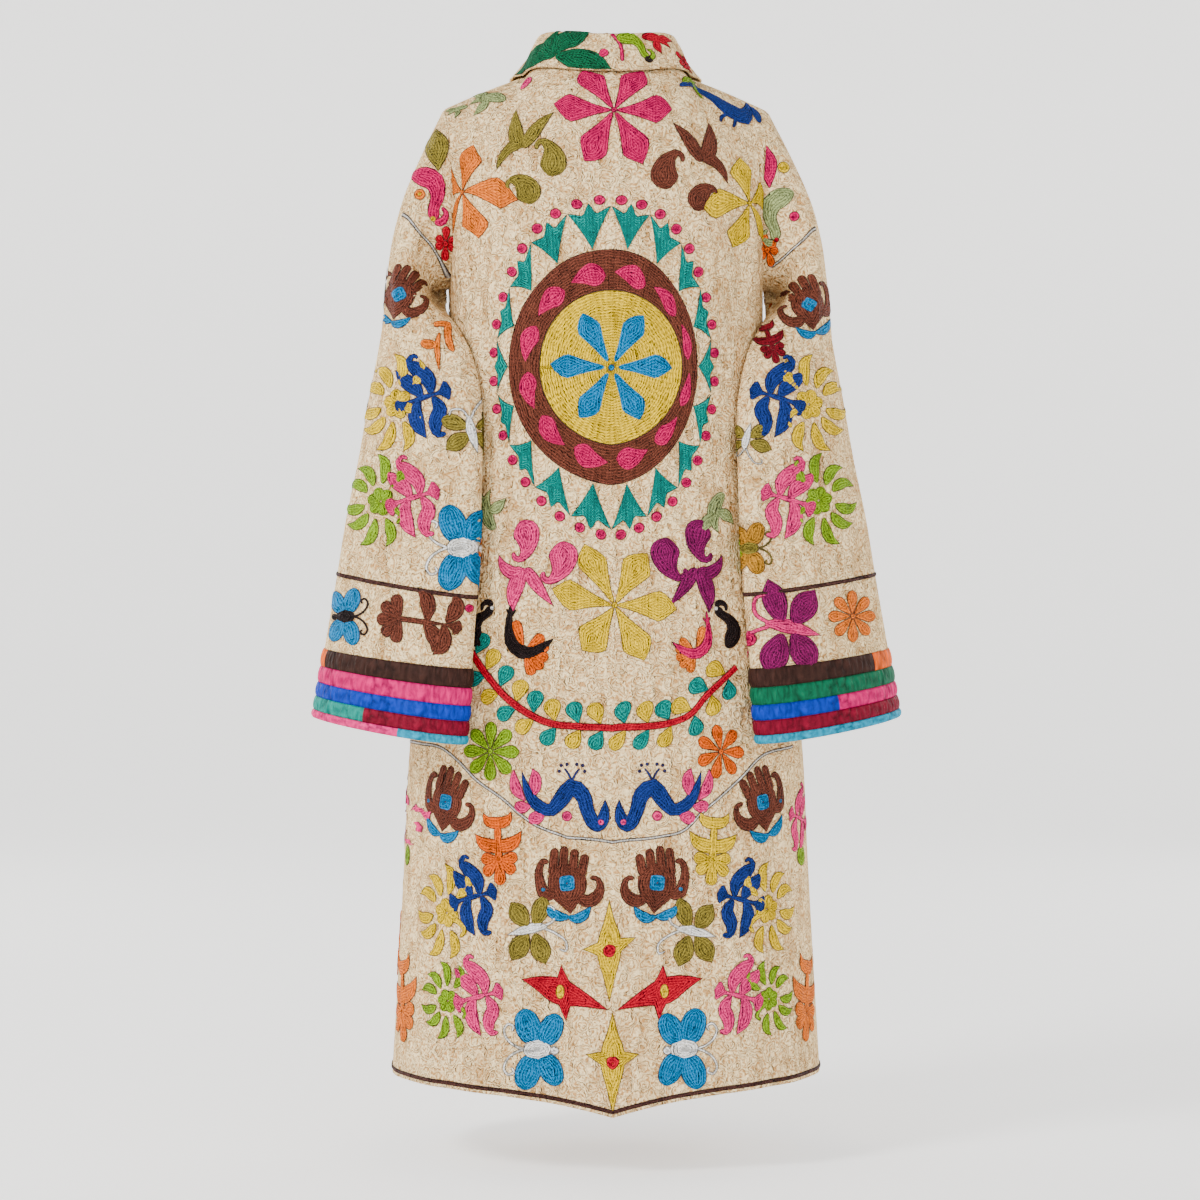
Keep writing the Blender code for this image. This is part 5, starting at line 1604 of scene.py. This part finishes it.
def flying_star(pen, thread, heart):
    """A star with two long points to the sides, two short ones above and below, and an oval heart."""
    stroke(pen, thread, 1.0, [(-45, 15, 0), (-26, 10, 8), (-4, 1, 14), (18, -6, 8.5), (46, -16, 0)], 21, 7)
    stroke(pen, thread, 1.1, [(-3, 29, 0), (-2, 14, 6), (0, 0, 12), (1, -14, 6), (2, -30, 0)], 17, 7)
    blob(pen, heart, 3.2, -4, 1, oval(4.8, 7.6))


def dot(pen, thread, heart=None, radius=5.0):
    """A round spot, with a small heart where it has one."""
    blob(pen, thread, 1, 0, 0, disc(radius), 7)
    if heart is not None:
        blob(pen, heart, 2.2, 0, 0, disc(radius * 0.42), 7)


# %% [markdown]
# ## The medallion
# A large sun fills the upper back. It is wider up and down than across, because the back panel is narrow, so
# it is drawn in its own terms: an angle from the top, and a level that is 1 at the yellow disc's edge, 2 at
# the brown ring's edge and 3 at the tips of the crowns. A warp turns those into millimetres on the cloth.

# %% Medallion
Level = namedtuple("Level", "level left right up")
LEVELS = [
    Level(0.0, 0.0, 0.0, 0.0),
    Level(1.0, 69.0, 68.5, 74.0),
    Level(2.0, 100.0, 84.5, 113.0),
    Level(3.0, 115.0, 101.0, 157.5),
    Level(3.4, 120.0, 106.0, 169.0),
]
CROWNS = 18
RING_COUNT = 145
DROPS = 12
DROP_COUNT = 15


def medallion_warp(xy):
    """x is degrees clockwise from the top, y is the level: across = A(level) sin x, up = U(level) cos x."""
    sine = np.sin(np.radians(xy[..., 0]))
    levels = field(LEVELS, "level")
    left, right, up = (np.interp(xy[..., 1], levels, field(LEVELS, n)) for n in ("left", "right", "up"))
    return np.stack([np.where(sine < 0, left, right) * sine, up * np.cos(np.radians(xy[..., 0]))], -1)


def crown(pen, angle):
    """One crown: across it t runs from -1 to 1, and its level from a V below to a tooth between two side
    tips."""
    t = np.linspace(-1, 1, 17)[:, None]
    s = np.linspace(0, 1, 7)[None]
    low = 2.02 + 0.94 * np.abs(t)
    high = np.interp(np.abs(t), [0.0, 0.30, 1.0], [3.09, 2.80, 2.965])
    level = low + (high - low) * s
    flat = flat_place(pen, np.stack([angle + 180 / CROWNS * t + 0 * s, level], -1))
    thick = np.linalg.norm(flat[:, -1] - flat[:, 0], axis=1)[:, None]
    uv = np.stack([flat[..., 0] + 0 * s, thick * np.minimum(s, 1 - s)], -1)
    bulge = np.minimum(1.0, thick / 2 / FULL_CROWN_HALF_WIDTH) * (1 - (2 * s - 1) ** 4)
    lay(pen, "teal", flat, uv, EDGE_LIFT + 1.2 * LAYER_LIFT + CROWN_LIFT * bulge)


def medallion(pen):
    """Disc, ring, drops, crowns and dots of the sun."""
    blob(pen, "yellow", 0.2, 0, 0, oval(LEVELS[1].left, LEVELS[1].up), 33)
    round_pen = pen._replace(warp=medallion_warp)
    turn = np.linspace(0, 360, RING_COUNT)
    ribbon(round_pen, "brown", 0.8, turn, np.full(RING_COUNT, 1.5), np.full(RING_COUNT, 0.5), 13)
    for k in range(DROPS):
        start = 360 / DROPS * k + 1.5
        places = [
            (start, 1.44, 0.0), (start + 9, 1.46, 0.20), (start + 18, 1.42, 0.31),
            (start + 25, 1.36, 0.20),
        ]
        run = np.linspace(0, 1, DROP_COUNT)
        x, y, half = smooth(np.array([0.0, 0.36, 0.75, 1.0]), np.array(places), run).T
        cap = np.sqrt(np.clip(1 - run**8, 0.001, 1))
        ribbon(round_pen, "magenta", 2.6, x, y, np.maximum(half, 0.01) * cap, 7)
    for k in range(CROWNS):
        crown(round_pen, 360 / CROWNS * (k + 0.5))
    for k in range(2 * CROWNS):
        x, y = medallion_warp(np.array([180 / CROWNS * (k + 0.5), 3.16]))
        dot(moved(pen, x, y), "magenta", None, 5.3)
    kite_flower(pen, "cyan", radius=57)


# %% [markdown]
# ## Garland, cords and hem
# A red twisted cord hangs across the back with pairs of leaves, thin cream cords mark the joins of the
# pattern, and a dark brown chain runs just above the hem and round each cuff. All are bands on the cloth with
# a higher crown, because a laid cord stands up more than a filled petal.

# %% Cords on the cloth
CORD_CROWN = 0.0016
HEM_CHAIN_HEIGHT = 0.0055
HEM_CHAIN_COUNT = 320
CUFF_CHAIN_COUNT = 240
GARLAND_COUNT = 150


def picked_line(place, pixels):
    """A pen at the middle of a cord, and the cord's places in its units, from listed pixels."""
    surface, flip = PLACES[place]
    found = np.array([find(surface.name, flip, px, py) for px, py in pixels])
    pen = pen_on(place, *found.mean(0), bends="")
    away = (found - found.mean(0)) @ np.linalg.inv(pen.seat.to_p_q).T
    return pen, away / UNIT


def laid_cord(place, pixels, thread, half, layer=1.0, count=90, crown=CORD_CROWN):
    """A cord through listed pixels."""
    pen, xy = picked_line(place, pixels)
    run = np.concatenate([[0.0], np.cumsum(np.hypot(*np.diff(xy, axis=0).T))])
    x, y = smooth(run, xy, np.linspace(0, run[-1], count)).T
    ribbon(pen, thread, layer, x, y, np.full(count, half), 5, crown)
    return pen, x, y


Pixel = namedtuple("Pixel", "px py")
GARLAND = [
    Pixel(470, 649), Pixel(488, 678), Pixel(507, 698), Pixel(526, 712), Pixel(550, 722), Pixel(582, 728),
    Pixel(614, 729), Pixel(641, 727), Pixel(668, 723), Pixel(690, 714), Pixel(706, 697), Pixel(721, 680),
    Pixel(736, 668),
]
LEAF_PAIRS = 14
garland_pen, garland_x, garland_y = laid_cord("back", GARLAND, "red", 3.6, layer=3.0, count=GARLAND_COUNT)
for k in range(LEAF_PAIRS):
    i = int((k + 0.5) * (GARLAND_COUNT - 1) / LEAF_PAIRS)
    step_x, step_y = garland_x[i + 1] - garland_x[i - 1], garland_y[i + 1] - garland_y[i - 1]
    heading = math.degrees(math.atan2(step_y, step_x))
    upper = ("teal", "yellow")[k % 2]
    lower = ("yellow", "teal")[k % 2]
    drop_leaf(moved(garland_pen, garland_x[i], garland_y[i] + 2, heading + 24), upper, 31, 10.5)
    drop_leaf(moved(garland_pen, garland_x[i] + 2, garland_y[i] - 2, heading + 152), lower, 29, 10.0)

CREAM_CORDS = {
    "back": [
        [
            Pixel(411, 740), Pixel(422, 743), Pixel(443, 749), Pixel(459, 762), Pixel(478, 781),
            Pixel(506, 799), Pixel(520, 814), Pixel(534, 825), Pixel(566, 836),
        ],
        [
            Pixel(566, 836), Pixel(612, 843), Pixel(654, 839), Pixel(684, 830), Pixel(700, 812),
            Pixel(721, 796), Pixel(743, 778), Pixel(759, 759), Pixel(792, 746),
        ],
    ],
    "sleeve_left": [
        [
            Pixel(403, 215), Pixel(420, 234), Pixel(432, 247), Pixel(441, 262), Pixel(450, 277),
        ],
    ],
    "sleeve_right": [
        [
            Pixel(815, 229), Pixel(803, 241), Pixel(789, 253), Pixel(779, 261), Pixel(770, 267),
        ],
    ],
}
for place, cords in CREAM_CORDS.items():
    for pixels in cords:
        laid_cord(place, pixels, "dark_brown", 1.7, layer=0.0, crown=0.0003)
        laid_cord(place, pixels, "cream", 1.15, layer=0.5, crown=0.0010)


def hem_chain():
    """The chain above the hem: a line at one height q of the surface, from side seam to side seam."""
    for place, length in (("back", BACK_LENGTH), ("front_left", FRONT_LENGTH), ("front_right", FRONT_LENGTH)):
        reach = float(length[2])
        first = -reach if place == "back" else 0.002
        pen = pen_on(place, (first + reach) / 2, HEM_CHAIN_HEIGHT, bends="")
        p = np.linspace(first, reach, HEM_CHAIN_COUNT)
        away = np.stack([p - pen.seat.p, 0 * p], -1) @ np.linalg.inv(pen.seat.to_p_q).T / UNIT
        ribbon(pen, "dark_brown", 1.0, away[:, 0], away[:, 1], np.full(len(p), 2.1), 5, CORD_CROWN)


def cuff_chain(place, outer, inner):
    """The chain round a sleeve: its share of the length swings from the outer pixel's to the inner one's."""
    flip = PLACES[place][1]
    q_outer = find("sleeve", flip, *outer)[1]
    q_inner = find("sleeve", flip, *inner)[1]
    pen = pen_on(place, 0.0, (q_outer + q_inner) / 2, bends="")
    p = np.linspace(0, 1, CUFF_CHAIN_COUNT)
    q = q_outer + (q_inner - q_outer) * (1 - np.cos(2 * math.pi * p)) / 2
    away = np.stack([p, q - pen.seat.q], -1) @ np.linalg.inv(pen.seat.to_p_q).T / UNIT
    ribbon(pen, "dark_brown", 1.0, away[:, 0], away[:, 1], np.full(len(p), 1.9), 5, CORD_CROWN)


hem_chain()
cuff_chain("sleeve_left", outer=Pixel(342, 575), inner=Pixel(470, 596))
cuff_chain("sleeve_right", outer=Pixel(860, 575), inner=Pixel(736, 596))

# %% [markdown]
# ## Where the motifs lie
# The layout is read off the photograph: what each motif is, the pixel of its middle, how large it is
# and which way it leans. Left and right are much alike but not mirror images, as in any work by hand.

# %% Motif tables
Motif = namedtuple("Motif", "draw px py size turn mirrored threads")


def stalk(pen, thread):
    """One thin stalk that bends over at its top."""
    stroke(pen, thread, 1, [(-20, 24, 2.2), (-2, 18, 2.4), (10, 4, 2.6), (12, -24, 2.4)])


BACK_MOTIFS = [
    Motif(kite_flower, 613, 111, 1.0, 0, 1, ("magenta",)),
    Motif(tulip, 523, 137, 0.90, 6, -1, ("olive",)),
    Motif(paisley, 552, 160, 0.80, 5, -1, ("olive",)),
    Motif(paisley, 524, 188, 0.78, 35, -1, ("olive",)),
    Motif(tulip, 700, 150, 0.92, -8, 1, ("brown",)),
    Motif(paisley, 667, 172, 0.84, -8, 1, ("brown",)),
    Motif(paisley, 702, 197, 0.74, -36, 1, ("brown",)),
    Motif(flying_bird, 724, 106, 1.05, -4, 1, ("royal",)),
    Motif(leafy_sprig, 690, 84, 0.75, -20, 1, ("lime",)),
    Motif(leafy_sprig, 488, 102, 0.95, 12, -1, ("sage",)),
    Motif(leafy_sprig, 458, 112, 0.50, 40, -1, ("sage",)),
    Motif(dot, 527, 84, 1.6, 0, 1, ("pink",)),
    Motif(lambda pen, thread: kite_flower(pen, thread, 5, -8, 50, 1.15), 464, 192, 0.90, 0, 1, ("peach",)),
    Motif(lambda pen, thread: kite_flower(pen, thread, 5, 12, 48, 1.15), 748, 204, 0.90, 0, 1, ("yellow",)),
    Motif(paisley, 527, 538, 0.80, 190, 1, ("pink",)),
    Motif(paisley, 562, 560, 0.86, 172, 1, ("pink",)),
    Motif(tulip, 527, 580, 0.84, 180, 1, ("pink",)),
    Motif(paisley, 699, 538, 0.82, 170, -1, ("plum",)),
    Motif(paisley, 667, 559, 0.88, 188, -1, ("plum",)),
    Motif(tulip, 697, 581, 0.84, 180, -1, ("plum",)),
    Motif(kite_flower, 615, 606, 1.0, 0, 1, ("yellow",)),
    Motif(perched_bird, 522, 640, 0.95, 0, 1, ("black", "orange")),
    Motif(perched_bird, 696, 643, 0.80, 0, -1, ("magenta", "peach")),
    Motif(hanging_bird, 484, 622, 0.62, 150, 1, ("black", "cream")),
    Motif(hanging_bird, 724, 622, 0.62, 210, -1, ("black", "cream")),
    Motif(round_flower, 490, 751, 0.95, 0, 1, ("lime", "lime")),
    Motif(lambda pen, thread: round_flower(pen, thread, thread, 7), 719, 753, 0.88, 10, 1, ("orange",)),
    Motif(peacock, 564, 799, 0.93, 0, 1, ("royal", "pink")),
    Motif(peacock, 659, 799, 0.93, 0, -1, ("royal", "pink")),
    Motif(hand, 447, 803, 0.84, -15, 1, ("brown", "cyan", "cyan")),
    Motif(hand, 762, 803, 0.84, 15, -1, ("brown", "cyan", "cyan")),
    Motif(hand, 566, 883, 0.84, 0, 1, ("brown", "cyan", "cyan")),
    Motif(hand, 657, 883, 0.84, 0, -1, ("brown", "cyan", "cyan")),
    Motif(crescent_plant, 500, 852, 0.86, 4, 1, ("orange",)),
    Motif(crescent_plant, 712, 852, 0.86, -4, -1, ("yellow",)),
    Motif(sprig_flower, 441, 910, 0.95, 0, 1, ("yellow",)),
    Motif(four_leaf_plant, 473, 898, 0.80, 0, 1, ("royal",)),
    Motif(sprig_flower, 771, 908, 0.92, 0, -1, ("yellow",)),
    Motif(four_leaf_plant, 740, 898, 0.80, 0, -1, ("royal",)),
    Motif(slim_butterfly, 530, 931, 0.86, 0, 1, ("olive", "cream")),
    Motif(slim_butterfly, 693, 931, 0.86, 0, -1, ("olive", "cream")),
    Motif(pointed_star, 610, 949, 0.92, 0, 1, ("yellow", "red")),
    Motif(pointed_star, 611, 1062, 0.92, 0, 1, ("yellow", "red")),
    Motif(flying_star, 563, 993, 0.92, 0, 1, ("red", "yellow")),
    Motif(flying_star, 659, 993, 0.92, 0, -1, ("red", "yellow")),
    Motif(sprig_flower, 443, 1000, 0.78, 10, 1, ("lime",)),
    Motif(four_leaf_plant, 480, 997, 0.80, 0, 1, ("pink",)),
    Motif(sprig_flower, 772, 997, 0.76, 10, -1, ("lime",)),
    Motif(four_leaf_plant, 738, 997, 0.80, 0, -1, ("pink",)),
    Motif(butterfly, 539, 1048, 0.86, 0, 1, ("cyan", "cream")),
    Motif(butterfly, 684, 1049, 0.86, 0, -1, ("cyan", "cream")),
    Motif(crescent_plant, 404, 1002, 1.05, 10, 1, ("peach",)),
    Motif(crescent_plant, 806, 1002, 1.05, -10, -1, ("peach",)),
    Motif(four_leaf_plant, 408, 812, 0.70, 0, 1, ("pink",)),
    Motif(four_leaf_plant, 798, 818, 0.70, 0, -1, ("pink",)),
    Motif(dot, 408, 856, 2.0, 0, 1, ("lime",)),
    Motif(dot, 800, 856, 2.0, 0, 1, ("lime",)),
    Motif(leafy_sprig, 491, 512, 0.9, 90, 1, ("sage",)),
    Motif(leafy_sprig, 718, 512, 0.9, 90, -1, ("sage",)),
]
SLEEVE_MOTIFS = {
    "sleeve_left": [
        Motif(lambda pen, thread: leaf(moved(pen, 0, -22), thread, 46, 12), 437, 151, 1.0, 4, 1, ("olive",)),
        Motif(hanging_bird, 430, 197, 0.80, 10, 1, ("magenta", "yellow")),
        Motif(dot, 420, 196, 1.1, 0, 1, ("peach", "yellow")),
        Motif(double_flower, 445, 243, 0.56, -4, 1, ("red",)),
        Motif(hand, 400, 294, 0.70, -20, 1, ("brown", "cyan", "cyan", True)),
        Motif(bracket_flower, 442, 346, 0.66, -2, 1, ("peach",)),
        Motif(sprig_flower, 392, 404, 1.0, 0, 1, ("yellow",)),
        Motif(four_leaf_plant, 425, 397, 0.86, 0, 1, ("royal",)),
        Motif(slim_butterfly, 472, 430, 0.80, 90, 1, ("olive", "cream")),
        Motif(sprig_flower, 374, 500, 0.95, 0, 1, ("lime",)),
        Motif(four_leaf_plant, 415, 497, 0.84, 0, 1, ("pink",)),
        Motif(butterfly, 462, 549, 0.92, 0, 1, ("cyan", "cream")),
        Motif(butterfly, 346, 617, 0.62, 0, -1, ("cyan", "black")),
        Motif(branch, 416, 623, 0.88, -4, 1, ("brown",)),
        Motif(dot, 468, 608, 0.8, 0, 1, ("magenta",)),
    ],
    "sleeve_right": [
        Motif(lambda pen, thread: leaf(moved(pen, 0, -22), thread, 44, 9), 768, 166, 1.0, 4, 1, ("magenta",)),
        Motif(dot, 783, 168, 1.2, 0, 1, ("yellow",)),
        Motif(hanging_bird, 778, 219, 0.76, -4, -1, ("sage", "red")),
        Motif(dot, 794, 216, 1.0, 0, 1, ("magenta",)),
        Motif(double_flower, 768, 250, 0.56, 18, 1, ("orange",)),
        Motif(hand, 808, 305, 0.72, 16, -1, ("brown", "cyan", "cyan", True)),
        Motif(crescent_plant, 771, 344, 0.54, 14, -1, ("dark_red",)),
        Motif(four_leaf_plant, 776, 398, 0.84, 0, -1, ("royal",)),
        Motif(sprig_flower, 816, 405, 1.0, 0, -1, ("yellow",)),
        Motif(slim_butterfly, 748, 440, 0.60, 90, -1, ("olive", "cream")),
        Motif(four_leaf_plant, 786, 500, 0.84, 0, -1, ("pink",)),
        Motif(sprig_flower, 826, 500, 0.95, 0, -1, ("lime",)),
        Motif(butterfly, 750, 548, 0.56, 0, -1, ("gold", "olive")),
        Motif(slim_butterfly, 788, 630, 1.20, 0, -1, ("plum", "pink")),
        Motif(round_flower, 852, 616, 0.84, 0, 1, ("peach", "peach")),
        Motif(dot, 750, 640, 1.4, 0, 1, ("magenta",)),
    ],
}
COLLAR_MOTIFS = [
    Motif(broad_leaves, 557, 53, 0.94, 0, 1, ("emerald",)),
    Motif(stalk, 612, 46, 0.8, 0, 1, ("magenta",)),
    Motif(drop_leaf, 598, 60, 0.7, -40, 1, ("magenta",)),
    Motif(hanging_bird, 636, 48, 0.55, 40, 1, ("lime", "black")),
    Motif(leafy_sprig, 656, 42, 0.7, -30, 1, ("red",)),
    Motif(double_flower, 684, 64, 0.55, 30, 1, ("red",)),
    Motif(dot, 648, 60, 0.9, 0, 1, ("black",)),
]
for place, motifs in {"back": BACK_MOTIFS, "collar": COLLAR_MOTIFS, **SLEEVE_MOTIFS}.items():
    for motif in motifs:
        pen = pen_at(place, motif.px, motif.py, motif.size, motif.turn, motif.mirrored)
        motif.draw(pen, *motif.threads)
MEDALLION_MIDDLE = Pixel(612, 367)
medallion(pen_at("back", *MEDALLION_MIDDLE))

# %% [markdown]
# ## The sides that the photograph doesn't show
# Such a coat is stitched all over. The fronts and the outer and front sides of the sleeves get the same kinds
# of motif, placed in metres: across from the front edge and up from the hem, or round and down the sleeve.

# %% Hidden sides
Hidden = namedtuple("Hidden", "draw across up size turn mirrored left right")
FRONT_MOTIFS = [
    Hidden(kite_flower, 0.090, 0.935, 0.95, 0, 1, ("magenta",), ("yellow",)),
    Hidden(tulip, 0.155, 0.990, 0.80, 0, 1, ("olive",), ("brown",)),
    Hidden(paisley, 0.175, 0.900, 0.85, 20, 1, ("brown",), ("olive",)),
    Hidden(hanging_bird, 0.050, 0.835, 0.80, 0, 1, ("royal", "pink"), ("teal", "red")),
    Hidden(round_flower, 0.120, 0.810, 0.95, 0, 1, ("lime", "red"), ("orange", "yellow")),
    Hidden(slim_butterfly, 0.200, 0.800, 0.90, 0, 1, ("olive", "cream"), ("olive", "cream")),
    Hidden(hand, 0.085, 0.725, 0.90, 0, 1, ("brown", "cyan", "cyan"), ("brown", "cyan", "cyan")),
    Hidden(sprig_flower, 0.175, 0.720, 0.95, 0, 1, ("yellow",), ("peach",)),
    Hidden(perched_bird, 0.060, 0.620, 0.85, 0, 1, ("black", "orange"), ("magenta", "peach")),
    Hidden(paisley, 0.135, 0.630, 0.95, -20, 1, ("pink",), ("plum",)),
    Hidden(butterfly, 0.215, 0.600, 0.80, 0, -1, ("cyan", "cream"), ("cyan", "cream")),
    Hidden(kite_flower, 0.105, 0.515, 0.95, 0, 1, ("yellow",), ("magenta",)),
    Hidden(crescent_plant, 0.200, 0.500, 0.90, 0, 1, ("orange",), ("yellow",)),
    Hidden(leafy_sprig, 0.045, 0.555, 0.80, 60, 1, ("sage",), ("olive",)),
    Hidden(hand, 0.065, 0.405, 0.90, 0, 1, ("brown", "cyan", "cyan"), ("brown", "cyan", "cyan")),
    Hidden(tulip, 0.135, 0.420, 0.90, 0, 1, ("plum",), ("pink",)),
    Hidden(hanging_bird, 0.190, 0.400, 0.80, 0, 1, ("teal", "yellow"), ("royal", "pink")),
    Hidden(round_flower, 0.245, 0.440, 0.85, 0, 1, ("peach", "red"), ("lime", "red")),
    Hidden(sprig_flower, 0.085, 0.300, 0.95, 0, 1, ("lime",), ("yellow",)),
    Hidden(four_leaf_plant, 0.140, 0.305, 0.85, 0, 1, ("pink",), ("royal",)),
    Hidden(flying_star, 0.215, 0.310, 0.90, 10, 1, ("red", "yellow"), ("red", "yellow")),
    Hidden(slim_butterfly, 0.065, 0.215, 0.90, 0, 1, ("olive", "cream"), ("plum", "pink")),
    Hidden(pointed_star, 0.140, 0.185, 0.90, 0, 1, ("yellow", "red"), ("yellow", "red")),
    Hidden(sprig_flower, 0.220, 0.210, 0.95, 0, 1, ("yellow",), ("lime",)),
    Hidden(crescent_plant, 0.265, 0.130, 0.85, 0, 1, ("peach",), ("orange",)),
    Hidden(butterfly, 0.078, 0.095, 0.86, 0, 1, ("cyan", "cream"), ("cyan", "cream")),
    Hidden(double_flower, 0.195, 0.090, 0.90, 30, 1, ("red",), ("orange",)),
    Hidden(dot, 0.025, 0.690, 1.2, 0, 1, ("magenta", "yellow"), ("magenta", "yellow")),
    Hidden(dot, 0.030, 0.330, 1.2, 0, 1, ("magenta", "yellow"), ("magenta", "yellow")),
    Hidden(dot, 0.160, 0.560, 1.2, 0, 1, ("pink", "yellow"), ("pink", "yellow")),
    Hidden(dot, 0.250, 0.360, 1.2, 0, 1, ("pink", "yellow"), ("pink", "yellow")),
]
HIDDEN_SLEEVE = [
    Hidden(tulip, 0.84, 0.15, 0.80, 0, 1, ("olive",), ("brown",)),
    Hidden(kite_flower, 0.72, 0.22, 0.75, 0, 1, ("yellow",), ("peach",)),
    Hidden(paisley, 0.93, 0.20, 0.80, 0, 1, ("teal",), ("teal",)),
    Hidden(hand, 0.78, 0.40, 0.85, 0, 1, ("brown", "cyan", "cyan", True), ("brown", "cyan", "cyan", True)),
    Hidden(double_flower, 0.68, 0.41, 0.80, 0, 1, ("red",), ("orange",)),
    Hidden(dot, 0.90, 0.42, 1.4, 0, 1, ("magenta", "yellow"), ("magenta", "yellow")),
    Hidden(four_leaf_plant, 0.73, 0.56, 0.80, 0, 1, ("royal",), ("pink",)),
    Hidden(sprig_flower, 0.86, 0.57, 0.85, 0, 1, ("lime",), ("lime",)),
    Hidden(slim_butterfly, 0.63, 0.66, 0.80, 0, 1, ("olive", "cream"), ("olive", "cream")),
    Hidden(butterfly, 0.76, 0.73, 0.75, 0, 1, ("cyan", "cream"), ("plum", "pink")),
    Hidden(round_flower, 0.60, 0.73, 0.75, 0, 1, ("peach", "red"), ("lime", "red")),
    Hidden(dot, 0.92, 0.71, 1.4, 0, 1, ("pink", "yellow"), ("pink", "yellow")),
    Hidden(branch, 0.79, 0.855, 0.70, 0, 1, ("brown",), ("plum",)),
    Hidden(round_flower, 0.62, 0.855, 0.62, 0, 1, ("cyan", "black"), ("peach", "peach")),
]


def stitch_hidden(part, motifs):
    """Draw a table on the left and the right side of a part, mirrored on the right."""
    for side, mirrored in (("left", 1), ("right", -1)):
        for motif in motifs:
            turn, way = motif.turn * mirrored, motif.mirrored * mirrored
            pen = pen_on(part + "_" + side, motif.across, motif.up, motif.size, turn, way)
            motif.draw(pen, *getattr(motif, side))


stitch_hidden("front", FRONT_MOTIFS)
stitch_hidden("sleeve", HIDDEN_SLEEVE)

# %% [markdown]
# Everything stitched on one surface becomes one mesh, with a material slot for each thread. Points that no
# face uses any more are left out.

# %% Stitched pieces
def stitched_piece(place, patches):
    """Join the patches: their faces are numbered on from each other, and only the points in use are kept."""
    start = np.cumsum([0] + [len(points) for points, *_ in patches])
    points = np.concatenate([patch[0] for patch in patches])
    uv = np.concatenate([patch[1] for patch in patches])
    quads = np.concatenate([patch[2] + first for patch, first in zip(patches, start)])
    slots = np.concatenate([np.full(len(patch[2]), patch[3]) for patch in patches])
    used, quads = np.unique(quads, return_inverse=True)
    made = make_mesh(
        "stitches_" + place, points[used], quads.reshape(-1, 4), list(STITCHES.values()), uv[used], slots
    )
    print(made.name, len(slots) * 2, "triangles in", len(patches), "patches")


for place, patches in STITCHED.items():
    stitched_piece(place, patches)

# %% [markdown]
# ## Floor and light
# A pale round studio cove has no corner that could show behind the coat. Four large soft lamps and a pale sky
# light it evenly, with a little more from the camera's side so that the creases still read.

# %% Studio
COVE_RADIUS = 6.0
COVE_HEIGHT = 5.0
COVE_ROUND = 2.0
COVE_GLOW = 0.66
FLOOR_HEIGHT = cad_box[0][2] - 0.060


def studio_cove():
    """A profile of floor, quarter circle and wall, turned round the vertical axis."""
    bend = np.linspace(0, math.pi / 2, 13)
    rounded = COVE_RADIUS - COVE_ROUND + COVE_ROUND * np.sin(bend)
    radius = np.concatenate([[0.0, 1.0, 2.5], rounded, [COVE_RADIUS]])
    height = np.concatenate([[0.0, 0.0, 0.0], COVE_ROUND * (1 - np.cos(bend)), [COVE_HEIGHT]])
    turn = np.linspace(0, 2 * math.pi, 73)[:-1]
    x, y = radius[:, None] * np.cos(turn), radius[:, None] * np.sin(turn)
    points = np.stack([x, y, np.repeat(height[:, None], len(turn), 1)], -1)
    points[..., 2] += FLOOR_HEIGHT
    mesh = bpy.data.meshes.new("studio_cove")
    quads = grid_quads(*points.shape[:2], True)
    mesh.from_pydata(points.reshape(-1, 3).tolist(), [], quads.tolist())
    mesh.shade_smooth()
    material, tree, shader = new_finish("matt_painted_cove", roughness=0.9, sheen=0.0)
    place = add_node(tree, "ShaderNodeTexCoord").outputs["Object"]
    paint = mixed(tree, noise(tree, place, scale=3.0, detail=2.0), colour("#F4F3F1"), colour("#F7F6F4"))
    tree.links.new(paint, shader.inputs["Base Color"])
    shader.inputs["Emission Color"].default_value = colour("#FFFFFF")
    shader.inputs["Emission Strength"].default_value = COVE_GLOW
    mesh.materials.append(material)
    cove = bpy.data.objects.new("studio_cove", mesh)
    bpy.context.scene.collection.objects.link(cove)


Lamp = namedtuple("Lamp", "name azimuth_deg distance height size watts")
SKY_GLOW = 0.5
LAMPS = [
    Lamp("key", 128, 3.2, 2.3, 0.9, 125),
    Lamp("fill", 216, 3.6, 0.9, 2.2, 20),
    Lamp("front_left", 45, 3.4, 1.2, 2.0, 40),
    Lamp("front_right", 315, 3.4, 1.0, 2.0, 30),
]


def soft_lamp(lamp):
    """A square area lamp that looks at the coat's middle."""
    data = bpy.data.lights.new(lamp.name, "AREA")
    data.energy = lamp.watts
    data.size = lamp.size
    azimuth = math.radians(lamp.azimuth_deg)
    level = np.array([math.sin(azimuth), -math.cos(azimuth), 0.0]) * lamp.distance
    place = AIM + level + np.array([0.0, 0.0, lamp.height])
    made = bpy.data.objects.new(lamp.name, data)
    made.location = place
    look = AIM - place
    dip = math.atan2(-look[2], math.hypot(look[0], look[1]))
    made.rotation_euler = (math.pi / 2 - dip, 0.0, math.atan2(-look[0], look[1]))
    bpy.context.scene.collection.objects.link(made)


studio_cove()
for lamp in LAMPS:
    soft_lamp(lamp)
world = bpy.data.worlds.new("pale_sky")
world.use_nodes = True
world.node_tree.nodes["Background"].inputs["Color"].default_value = colour("#FFFFFF")
world.node_tree.nodes["Background"].inputs["Strength"].default_value = SKY_GLOW
bpy.context.scene.world = world
